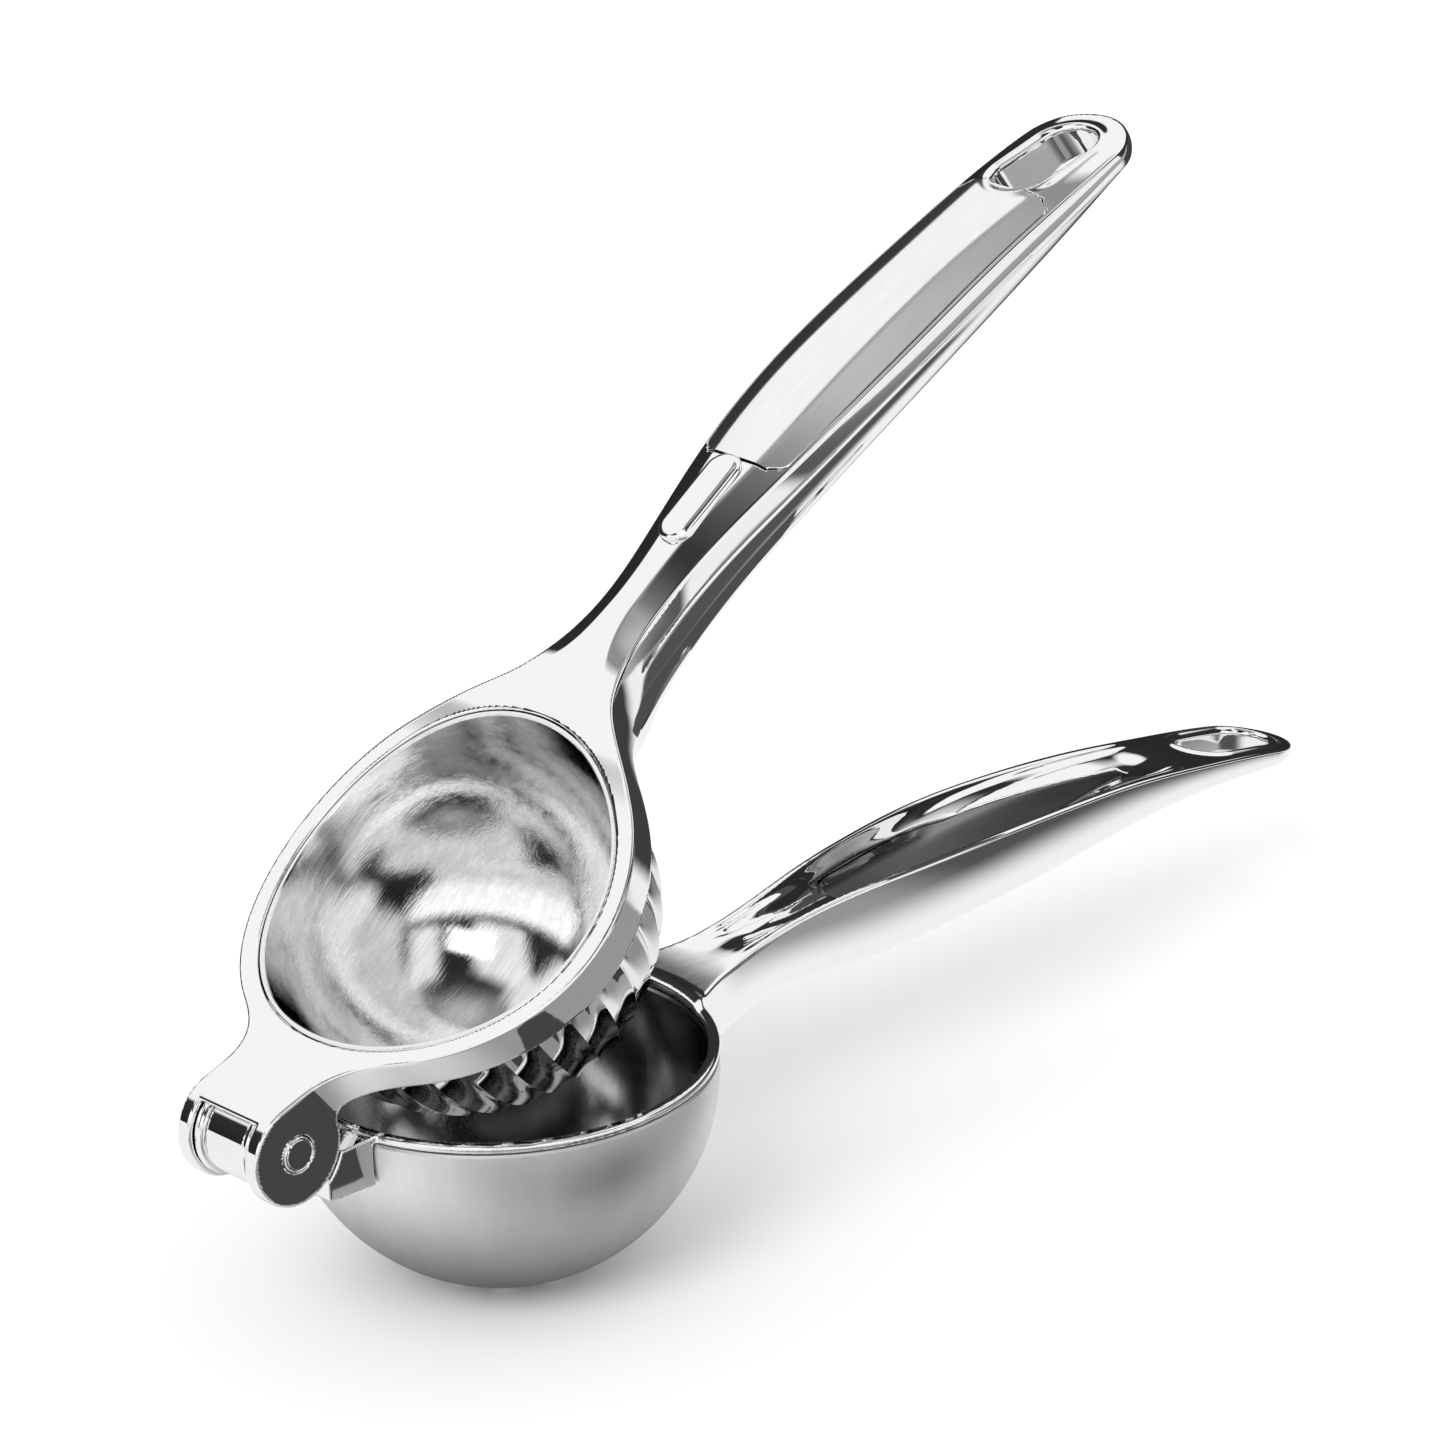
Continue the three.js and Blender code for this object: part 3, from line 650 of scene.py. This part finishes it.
def lower_arm_field(x, y, z):
    side, from_middle = np.abs(y), np.hypot(x, y)
    roof, from_pin = lower_roof(x, side), np.hypot(x + HINGE_REACH, z - HINGE_RISE)
    rim = shared(from_middle - RIM_OUTER, np.maximum(z, -RIM_HEIGHT - z), 0.6)
    handle = handle_body(x, side, z, lower_top(x), lower_half(x), lower_depth(x), LOWER_TIP)
    handle = shared(shared(handle, z - roof, 0.7), 31 - x, 1)
    body = joined(joined(rim, handle, 2.5), hinge_block(x, side, z, from_pin), 0.9)
    from_bowl = np.sqrt(x**2 + y**2 + (z + BOWL_SINK) ** 2) - BOWL_RADIUS
    body = cut(body, np.maximum(from_bowl - BOWL_GAP, z + RIM_HEIGHT), 0.3)
    body = cut(body, from_middle - RIM_INNER, 0.5)
    body = cut(body, from_pin - BARREL_BORE, 0.3)
    body = cut(body, leaf_recess(x, side, z, roof), 0.3)
    return cut(body, long_hole(x, side, LOWER_TIP), 1.0)


def lower_lift(x):
    """The grid follows the handle's top, stays level under the rim and rises to the barrel."""
    return lower_top(x) * step_up(x, 36, 60) + BARREL_RISE * (1 - step_up(x, -43, -36))


def lower_width(x):
    """How much wider than the grid's own width the handle is at x."""
    return 1 + (lower_half(x) / USUAL_HALF - 1) * step_up(x, 62, 84)


xs = spaced([(-59, -32, 1), (-32, 30, 1.3), (30, 75, 1), (75, 140, 1.7), (140, 193, 1)])
ys, zs = spaced([(0, 36.8, 1)]), spaced([(-19.5, 2.0, 1)])
points, faces, normals = surface_of(lower_arm_field, xs, ys, zs, lower_lift, lower_width)
lower_arm = new_piece("lower_arm_casting", points, faces, [polished], LOWER_FRAME, normals)
settled_on(lower_arm, "lower", "lower_arm")

# %% [markdown]
# Bowl and cup are pressed from sheet. A lathe profile turned round the axis gives an even mesh
# whose columns can follow the flutes, which a cut sphere would not.

# %% Turned pieces
def turned(rows, columns, place):
    """Rings of points from pole to pole. place(row, turn) gives a point."""
    turns = np.linspace(0, 2 * math.pi, columns, endpoint=False)
    rings = [np.array([place(row, turn) for turn in turns]) for row in rows]
    points = np.concatenate([rings[0].mean(0)[None], *rings, rings[-1].mean(0)[None]])
    faces, last = [], len(points) - 1
    for r in range(len(rows) - 1):
        for c in range(columns):
            a, b = 1 + r * columns + c, 1 + r * columns + (c + 1) % columns
            faces.append((a, b, b + columns, a + columns))
    for c in range(columns):
        faces.append((0, 1 + (c + 1) % columns, 1 + c))
        faces.append((last, last - columns + c, last - columns + (c + 1) % columns))
    return points, faces


def arc(radius, middle, start, end, count):
    for turn in np.linspace(math.radians(start), math.radians(end), count):
        yield radius * math.cos(turn), middle + radius * math.sin(turn)


def on_axis(row, turn):
    return row[0] * math.cos(turn), row[0] * math.sin(turn), row[1]


print("a turned band of 12 columns has", len(turned([(5, 0), (5, 1)], 12, on_axis)[1]), "faces with its ends")

# %% [markdown]
# The bowl is a hemisphere with a small flat underneath, on which the press stands, and a ring of
# drain holes through it. The holes are cut with one boolean, which is simplest for round holes
# through a curved wall. Its inside is brushed, and its colour is painted darker than the satin
# outside as painted shade.

# %% Drained bowl
HOLES, HOLE_RADIUS, HOLE_CIRCLE = 8, 1.7, 10.2


def juice_bowl():
    rim_z = LOWER_FRAME.translation.z / MM
    top, inner = -RIM_HEIGHT - BOWL_GAP, BOWL_RADIUS - BOWL_WALL
    flat_outer = math.degrees(-math.asin((rim_z - BOWL_SINK) / BOWL_RADIUS))
    flat_inner = math.degrees(-math.asin((rim_z - BOWL_WALL - BOWL_SINK) / inner))
    start = math.degrees(math.asin((top + BOWL_SINK) / BOWL_RADIUS)) - 0.6
    rows = [(1.5, -rim_z), (5.5, -rim_z)]
    rows += list(arc(BOWL_RADIUS, -BOWL_SINK, flat_outer, start, 56))
    rows += [(BOWL_RADIUS - 0.35, top), (inner + 0.35, top)]
    rows += list(arc(inner, -BOWL_SINK, start, flat_inner, 52))
    rows += [(4.5, -rim_z + BOWL_WALL), (1.5, -rim_z + BOWL_WALL)]

    def inside(x, y, z):
        return x**2 + y**2 + (z + BOWL_SINK) ** 2 < (BOWL_RADIUS - 0.5 * BOWL_WALL) ** 2

    points, faces = turned(rows, 144, on_axis)
    return new_piece("drained_bowl", points, faces, [satin, bowl_inside_painted_shade], LOWER_FRAME, choose=inside)


def drilled(bowl):
    drill = bmesh.new()
    for i in range(HOLES):
        turn = 2 * math.pi * i / HOLES
        spot = (HOLE_CIRCLE * math.cos(turn) * MM, HOLE_CIRCLE * math.sin(turn) * MM, 0.0)
        bmesh.ops.create_cone(drill, cap_ends=True, segments=24, depth=0.02, radius1=HOLE_RADIUS * MM,
                              radius2=HOLE_RADIUS * MM, matrix=Matrix.Translation(spot))
    mesh = bpy.data.meshes.new("drills")
    drill.to_mesh(mesh)
    drill.free()
    tool = bpy.data.objects.new("drills", mesh)
    bpy.context.scene.collection.objects.link(tool)
    hole = bowl.modifiers.new("drain holes", "BOOLEAN")
    hole.operation, hole.object, hole.solver = "DIFFERENCE", tool, "EXACT"
    bpy.context.view_layer.update()
    made = bpy.data.meshes.new_from_object(bowl.evaluated_get(bpy.context.evaluated_depsgraph_get()))
    bowl.modifiers.clear()
    bowl.data = made
    bpy.data.objects.remove(tool)
    made.attributes.remove(made.attributes["laid"])
    return remember_place(bowl, LOWER_FRAME)


settled_on(drilled(juice_bowl()), "lower", "juice_bowl")

# %% [markdown]
# The cup's outside carries thirty-four hollow flutes with sharp ridges between them, so that the
# fruit turns inside out and grips. Its inside is plain and brushed. Twelve columns to a flute
# keep each hollow round and each ridge crisp. The rows run from the dome's pole up the fluted
# wall, over the lip, which follows the ring's saddle, and down the well inside.

# %% Press cup
FLUTES, FLUTE_DEPTH, FLUTE_COLUMNS = 34, 1.25, 12
CUP_DROP, CUP_OUTER, CUP_NECK, CUP_INNER = 7.0, 32.7, 32.12, 31.2


def cup_rows():
    rows = [("dome", math.radians(a)) for a in (-89, -86, -82, -77)]
    rows += [("dome", turn) for turn in np.linspace(math.radians(-72), 0, 26)[:-1]]
    rows += [("flute", share) for share in np.linspace(0, 1, 12)]
    rows += [("shoulder", 0.0), ("neck", 0.5)]
    lip = [(CUP_NECK, 0.4), (CUP_NECK - 0.15, 0.2), (CUP_INNER + 0.2, 0.2), (CUP_INNER, 0.45)]
    rows += [("lip", step) for step in lip]
    rows += [("wall", 0.35), ("wall", 0.7)]
    return rows + [("well", turn) for turn in np.linspace(0, math.radians(-86), 30)]


def cup_point(row, turn):
    kind, value = row
    top = float(upper_top(RING_X + CUP_NECK * math.cos(turn)))
    under = top - RING_HEIGHT - 0.3
    hollow = FLUTE_DEPTH * math.sin(math.pi * ((turn * FLUTES / (2 * math.pi)) % 1.0))
    if kind == "dome":
        radius = (CUP_OUTER - hollow * math.cos(value) ** 0.6) * math.cos(value)
        z = -CUP_DROP + CUP_OUTER * math.sin(value)
    elif kind == "flute":
        radius, z = CUP_OUTER - hollow, -CUP_DROP + (under + CUP_DROP) * value
    elif kind == "shoulder":
        radius, z = CUP_NECK - 0.2, under
    elif kind == "neck":
        radius, z = CUP_NECK, top - RING_HEIGHT * value
    elif kind == "lip":
        radius, z = value[0], top - value[1]
    elif kind == "wall":
        radius, z = CUP_INNER, (top - 0.45) * (1 - value) - CUP_DROP * value
    else:
        radius, z = CUP_INNER * math.cos(value), -CUP_DROP + CUP_INNER * math.sin(value)
    return RING_X + radius * math.cos(turn), radius * math.sin(turn), z


def inside_cup(x, y, z):
    return (x - RING_X) ** 2 + y**2 + np.minimum(0.0, z + CUP_DROP) ** 2 < (CUP_INNER + 0.15) ** 2


points, faces = turned(cup_rows(), FLUTES * FLUTE_COLUMNS, cup_point)
cup = new_piece("fluted_cup", points, faces, [fluted, brushed], UPPER_FRAME, crease=20, choose=inside_cup)
settled_on(cup, "upper", "press_cup")

# %% [markdown]
# The grip plates are thin and follow the handles. Each is a strip of cross rows: the top follows
# the handle's own surface, the underside lies a millimetre lower, and a small bevel runs round.

# %% Grip plates
PLATE_BEVEL, PLATE_COLUMNS, PLATE_ROWS = 0.15, 30, 150


def plate(name, start, end, half_at, height_at, thickness, placed, material):
    points, faces = [], []
    shares = (1 - np.cos(np.linspace(0, math.pi, PLATE_ROWS))) / 2
    for n, x in enumerate(start + (end - start) * shares):
        half = float(half_at(x))
        ring = []
        for c, across in enumerate(np.linspace(-1, 1, PLATE_COLUMNS)):
            at_edge = c in (0, PLATE_COLUMNS - 1) or n in (0, PLATE_ROWS - 1)
            beside_edge = c in (1, PLATE_COLUMNS - 2)
            y = math.copysign(half - PLATE_BEVEL, across) if beside_edge else across * half
            ring.append((x, y, float(height_at(x, abs(y))) - (PLATE_BEVEL if at_edge else 0.0)))
        for across in np.linspace(1, -1, PLATE_COLUMNS):
            y = across * half
            ring.append((x, y, float(height_at(x, abs(y))) - thickness))
        points += ring
    size = 2 * PLATE_COLUMNS
    for r in range(PLATE_ROWS - 1):
        for c in range(size):
            a, b = r * size + c, r * size + (c + 1) % size
            faces.append((a, b, b + size, a + size))
    for r in (0, PLATE_ROWS - 1):
        for c in range(PLATE_COLUMNS - 1):
            a, d = r * size + c, r * size + size - 1 - c
            faces.append((a, a + 1, d - 1, d))
    return new_piece(name, points, faces, [material], placed, crease=22)


def upper_plate_top(x, side):
    return upper_roof(x, side) - 0.02


def lower_plate_top(x, side):
    return lower_roof(x, side) - 0.05


def leaf_half(x):
    """The trough floor's own width, with a blunt end at the neck and a pointed one at the tip."""
    blunt = np.sqrt(np.clip(1 - (1 - np.clip((x - LEAF_FROM) / 4.0, 0, 1)) ** 2, 0.04, 1))
    point = np.sqrt(np.clip(1 - (1 - np.clip((LEAF_TO - x) / 2.0, 0, 1)) ** 2, 0.04, 1))
    return floor_half(x) * blunt * point


upper_plate = plate("upper_grip_plate", PANEL_FROM, PANEL_TO, panel_half, upper_plate_top, 1.1,
                    UPPER_FRAME, panel_metal)
settled_on(upper_plate, "upper", "upper_grip_panel")
lower_plate = plate("lower_grip_plate", LEAF_FROM, LEAF_TO, leaf_half, lower_plate_top, 0.8,
                    LOWER_FRAME, plate_painted_dark_reflection)
settled_on(lower_plate, "lower", "lower_grip_panel")

# %% [markdown]
# The oval plate is a low dome on the neck, polished like the casting. Rings that shrink and rise
# in small steps give it a broad rounding, which catches one bright and one dark line.

# %% Oval plate
OVAL_MIDDLE, OVAL_HALF, OVAL_RUN, OVAL_COLUMNS = 126.9, 3.5, 6.0, 96
OVAL_RINGS = [(1.0, -0.9), (1.0, 0.2), (0.95, 0.55), (0.87, 0.84), (0.77, 1.04), (0.66, 1.15), (0.4, 1.23),
              (0.1, 1.25)]


def oval_plate():
    slope = (float(upper_top(OVAL_MIDDLE + 7)) - float(upper_top(OVAL_MIDDLE - 7))) / 14
    base = float(upper_roof(OVAL_MIDDLE, 0.0))
    points = []
    for share, lift in OVAL_RINGS:
        for turn in np.linspace(0, 2 * math.pi, OVAL_COLUMNS, endpoint=False):
            across, along = math.cos(turn), math.sin(turn)
            straight = OVAL_RUN * min(1, share + 0.3) * min(1, abs(along) * 6)
            x = share * OVAL_HALF * along + math.copysign(straight, along)
            points.append((OVAL_MIDDLE + x, share * OVAL_HALF * across, base + lift + slope * x))
    faces = []
    for r in range(len(OVAL_RINGS) - 1):
        for c in range(OVAL_COLUMNS):
            a, b = r * OVAL_COLUMNS + c, r * OVAL_COLUMNS + (c + 1) % OVAL_COLUMNS
            faces.append((a, b, b + OVAL_COLUMNS, a + OVAL_COLUMNS))
    faces.append(tuple(range(OVAL_COLUMNS - 1, -1, -1)))
    faces.append(tuple(range((len(OVAL_RINGS) - 1) * OVAL_COLUMNS, len(OVAL_RINGS) * OVAL_COLUMNS)))
    return new_piece("oval_plate_dome", points, faces, [polished], UPPER_FRAME, crease=40)


settled_on(oval_plate(), "upper", "oval_plate")

# %% [markdown]
# Pin and washers turn about the hinge axis. The same lathe makes them, laid on its side. A small
# chamfer and a groove near the rim keep the pin's end from looking like a plain disc, and the
# washers are collars with rounded edges and a fine groove.

# %% Hinge pin and washers
HINGE_COLUMNS = 72
PIN_END = FORK_HALF + 0.25
HALF_PIN = [(0.6, -PIN_END), (1.6, -PIN_END), (2.35, -PIN_END), (2.45, -PIN_END + 0.12),
            (2.62, -PIN_END + 0.12), (2.72, -PIN_END), (2.82, -PIN_END + 0.04), (2.95, -PIN_END + 0.25),
            (2.95, -4)]
COLLAR = [(3.25, 4.75), (7.5, 4.75), (7.85, 4.9), (7.95, 5.2), (7.95, 5.6), (7.7, 5.8), (7.75, 5.95),
          (7.95, 6.1), (7.85, 6.33), (3.25, 6.35)]


def laid_ring(row, turn):
    return row[0] * math.cos(turn), row[1], row[0] * math.sin(turn)


def hinge_pin():
    rows = HALF_PIN + [(radius, -y) for radius, y in reversed(HALF_PIN)]
    points, faces = turned(rows, HINGE_COLUMNS, laid_ring)
    return new_piece("pin", points, faces, [pin_steel], UPPER_FRAME, crease=35)


def washer_collar(name, side):
    turns = np.linspace(0, 2 * math.pi, HINGE_COLUMNS, endpoint=False)
    points = [laid_ring((radius, side * y), turn) for radius, y in COLLAR for turn in turns]
    faces = []
    for r in range(len(COLLAR)):
        ahead = (r + 1) % len(COLLAR)
        for c in range(HINGE_COLUMNS):
            beside = (c + 1) % HINGE_COLUMNS
            faces.append((r * HINGE_COLUMNS + c, r * HINGE_COLUMNS + beside,
                          ahead * HINGE_COLUMNS + beside, ahead * HINGE_COLUMNS + c))
    return new_piece(name, points, faces, [polished], UPPER_FRAME, crease=35)


settled_on(hinge_pin(), "upper", "hinge_pin")
for node_name, side in (("near_washer", -1), ("far_washer", 1)):
    settled_on(washer_collar(node_name + "_collar", side), "upper", node_name)

# %% [markdown]
# The press stands on a pale floor that fades into a pale studio. Floor and cards are stage, not
# object. Polished metal shows nothing but its surroundings, so the floor answers mirror rays with
# painted tones: white near the press and dark far behind it, a grey lane in front that the ring's
# wall shows, a painted soft shadow where the bowl touches, and a grey field that the hang slot shows.

# %% Floor
AWAY, SIDEWAYS = (0.69, 0.72, 0), (0.72, -0.69, 0)
FLOOR_REACH = 4000
FLOOR_TONE, FLOOR_ROUGHNESS = 0.93, 0.9


def along(tree, place, direction):
    settings = {"operation": "DOT_PRODUCT", 1: direction}
    return node(tree, "ShaderNodeVectorMath", settings, i0=place).outputs["Value"]


def soft(tree, value, start, end, low=0.0, high=1.0):
    return mapped(tree, value, start, end, low, high, "SMOOTHSTEP")


def mirrored_floor(tree):
    """The floor's tone for mirror rays, from its place in millimetres, with a painted shadow round the bowl's
    foot.
    """
    place = node(tree, "ShaderNodeTexCoord").outputs["Object"]
    at = node(tree, "ShaderNodeSeparateXYZ", i0=place)
    reach = node(tree, "ShaderNodeVectorMath", {"operation": "LENGTH"}, i0=place).outputs["Value"]

    def stretch(value, start, end, low=0.0, high=1.0):
        return soft(tree, value, start * MM, end * MM, low, high)

    x, y = at.outputs["X"], at.outputs["Y"]
    fading = stretch(along(tree, place, AWAY), 200, 330, 0.95, 0.05)
    # The fall in tone close to the bowl's foot is a painted contact shadow.
    open_floor_with_painted_shadow = product(tree, fading, stretch(reach, 12, 70, 0.12, 1.0))
    lane = product(tree, product(tree, stretch(y, -200, -180), stretch(y, -65, -15, 1.0, 0.0)),
                   product(tree, stretch(x, -160, -130), stretch(x, 290, 320, 1.0, 0.0)))
    lane_corner = product(tree, stretch(x, 112, 150), stretch(y, -150, -110))
    lane_tone = mapped(tree, lane_corner, 0.0, 1.0, 0.33, 0.09)
    field_across = product(tree, stretch(y, -350, -325), stretch(y, -190, -170, 1.0, 0.0))
    grey_field = product(tree, stretch(x, 190, 215), field_across)
    beside_lane = blend(tree, grey_field, open_floor_with_painted_shadow, stretch(x, 200, 480, 0.1, 0.4))
    return blend(tree, lane, beside_lane, lane_tone)


def floor_paper():
    made = bpy.data.materials.new("floor paper")
    made.use_nodes = True
    tree = made.node_tree
    shader, out = tree.nodes["Principled BSDF"], tree.nodes["Material Output"]
    shader.inputs["Base Color"].default_value = (FLOOR_TONE, FLOOR_TONE, FLOOR_TONE, 1)
    shader.inputs["Roughness"].default_value = FLOOR_ROUGHNESS
    shader.inputs["Specular IOR Level"].default_value = 0.0
    glow = node(tree, "ShaderNodeEmission", Strength=mirrored_floor(tree)).outputs[0]
    ray = node(tree, "ShaderNodeLightPath").outputs["Is Glossy Ray"]
    mixed = node(tree, "ShaderNodeMixShader", i0=ray, i1=shader.outputs[0], i2=glow)
    tree.links.new(mixed.outputs[0], out.inputs["Surface"])
    return made


def sheet_of_stage(name, corners, material):
    mesh = bpy.data.meshes.new(name)
    mesh.from_pydata([[v * MM for v in c] for c in corners], [], [(0, 1, 2, 3)])
    mesh.materials.append(material)
    made = bpy.data.objects.new(name, mesh)
    bpy.context.scene.collection.objects.link(made)
    return made


def level_corners(x_low, x_high, y_low, y_high, z):
    return [(x_low, y_low, z), (x_high, y_low, z), (x_high, y_high, z), (x_low, y_high, z)]


FLOOR_CORNERS = level_corners(-FLOOR_REACH, FLOOR_REACH, -FLOOR_REACH, FLOOR_REACH, 0)
sheet_of_stage("floor", FLOOR_CORNERS, floor_paper())
print("floor is", 2 * FLOOR_REACH * MM, "m wide")

# %% [markdown]
# Cards are how a studio draws lines in chrome. Mirror rays alone see these three: a dark one on the
# floor that blackens the ears at the hinge, a bright window to the front left that lights one spot
# in the cup, and a dark one over the lower handle that darkens its trough.

# %% Reflector cards
WINDOW = [(-330, -120, 330), (-230, -330, 330), (-160, -290, 420), (-260, -80, 420)]


def card(name, corners, tone):
    material = bpy.data.materials.new(name)
    material.use_nodes = True
    shader = material.node_tree.nodes["Principled BSDF"]
    shader.inputs["Base Color"].default_value = (0, 0, 0, 1)
    shader.inputs["Specular IOR Level"].default_value = 0.0
    shader.inputs["Emission Color"].default_value = (tone, tone, tone, 1)
    shader.inputs["Emission Strength"].default_value = 1.0
    made = sheet_of_stage(name, corners, material)
    made.visible_camera = made.visible_shadow = made.visible_diffuse = False
    print(name, "has tone", tone)


card("dark_hinge_card", level_corners(-18, 28, -92, -56, 1), 0.06)
card("bright_window_card", WINDOW, 1.6)
card("dark_neck_card", level_corners(92, 124, -25, 12, 60), 0.08)

# %% [markdown]
# The studio round the press differs by side. Behind it stands a dark wall, with a broad white
# strip above the wall. On the viewer's side the low part is light and the upper part dark, with
# two tall windows in it. The strip gives the white planes, the dark wall gives the black lines
# that show a polished curve, and the windows give the cup its patches. Mirror rays alone see all
# this: the camera and the soft light see a plain white studio.

# %% Studio world
FAR_BANDS = [(0.0, 0.02), (0.46, 0.03), (0.52, 1.0), (0.90, 1.0), (0.94, 0.3), (0.97, 0.3), (1.0, 0.6)]
NEAR_BANDS = [(0.0, 0.75), (0.14, 1.2), (0.36, 1.3), (0.44, 0.04), (0.93, 0.04), (0.97, 0.2), (1.0, 0.6)]
WINDOW_BANDS = [(0.0, 0.03), (0.18, 0.03), (0.21, 1.0), (0.42, 1.0), (0.46, 0.03), (0.60, 0.03), (0.64, 1.0),
                (0.74, 1.0), (0.78, 0.03), (1.0, 0.03)]
WINDOW_HEIGHTS = [(0.44, 0.0), (0.50, 1.0), (0.86, 1.0), (0.92, 0.0)]


def bands(tree, value, stops):
    ramp = node(tree, "ShaderNodeValToRGB", i0=value)
    elements = ramp.color_ramp.elements
    while len(elements) < len(stops):
        elements.new(0.5)
    for element, (level, tone) in zip(elements, stops):
        element.position, element.color = level, (tone, tone, tone, 1)
    return ramp.outputs[0]


def mirrored_studio(tree):
    """The studio's tone for mirror rays, from their direction."""
    place = node(tree, "ShaderNodeTexCoord").outputs["Generated"]
    up = node(tree, "ShaderNodeSeparateXYZ", i0=place).outputs["Z"]
    toward = along(tree, place, AWAY)
    low_only = mapped(tree, up, 0.6, 0.8, 1.0, 0.0)
    higher_wall = product(tree, soft(tree, toward, 0.12, 0.32, 0.05, 0.0), low_only)
    height = node(tree, "ShaderNodeMath", {"operation": "SUBTRACT"}, i0=up, i1=higher_wall).outputs[0]
    windows = bands(tree, mapped(tree, along(tree, place, SIDEWAYS), -1.0, 1.0), WINDOW_BANDS)
    at_windows = bands(tree, height, WINDOW_HEIGHTS)
    near = blend(tree, at_windows, bands(tree, height, NEAR_BANDS), windows, "RGBA")
    return blend(tree, soft(tree, toward, -0.25, -0.05), near, bands(tree, height, FAR_BANDS), "RGBA")


def studio():
    world = bpy.data.worlds.new("studio")
    bpy.context.scene.world = world
    world.use_nodes = True
    tree = world.node_tree
    tree.nodes.clear()
    mirror = node(tree, "ShaderNodeBackground", i0=mirrored_studio(tree)).outputs[0]
    plain = node(tree, "ShaderNodeBackground", {"Color": (1, 1, 1, 1), "Strength": 1.0}).outputs[0]
    ray = node(tree, "ShaderNodeLightPath")
    lit = node(tree, "ShaderNodeMixShader", i0=ray.outputs["Is Glossy Ray"], i1=plain, i2=mirror).outputs[0]
    seen = node(tree, "ShaderNodeMixShader", i0=ray.outputs["Is Camera Ray"], i1=lit, i2=plain).outputs[0]
    node(tree, "ShaderNodeOutputWorld", Surface=seen)
    return world


print("world:", studio().name)

# %% [markdown]
# One broad soft light stands to the left and casts the gentle shadow to the right of the bowl. It
# leaves no highlight of its own in the polish, because the strip above already draws those. The
# camera has a long lens, as for a picture of a product, and looks down on the press from its near
# left.

# %% Key light and camera
CAMERA_PLACE = (-0.60446, -0.68441, 0.48003)
CAMERA_RIGHT = Vector((0.712479, -0.701090, -0.029092))
CAMERA_UP = Vector((0.292282, 0.258828, 0.920641))
CAMERA_BACK = Vector((-0.637922, -0.664440, 0.389325))

key = bpy.data.objects.new("key", bpy.data.lights.new("key", "SUN"))
key.data.energy, key.data.angle = 1.1, math.radians(30)
key.rotation_euler = Vector((0.82, 0.28, -0.72)).to_track_quat("-Z", "Y").to_euler()
key.visible_glossy = False
bpy.context.scene.collection.objects.link(key)

camera = bpy.data.objects.new("camera", bpy.data.cameras.new("camera"))
camera.data.sensor_width, camera.data.lens = 36, 155.65
camera.data.clip_start, camera.data.clip_end = 0.05, 20
turn = Matrix((CAMERA_RIGHT, CAMERA_UP, CAMERA_BACK)).transposed().to_4x4()
camera.matrix_world = Matrix.Translation(CAMERA_PLACE) @ turn
bpy.context.scene.collection.objects.link(camera)
bpy.context.scene.camera = camera
bpy.context.scene.view_settings.view_transform = "Standard"
print("camera stands", round(camera.location.length, 2), "m away")

# %% [markdown]
# Last, the view layer is brought up to date.

# %% The end
bpy.context.view_layer.update()
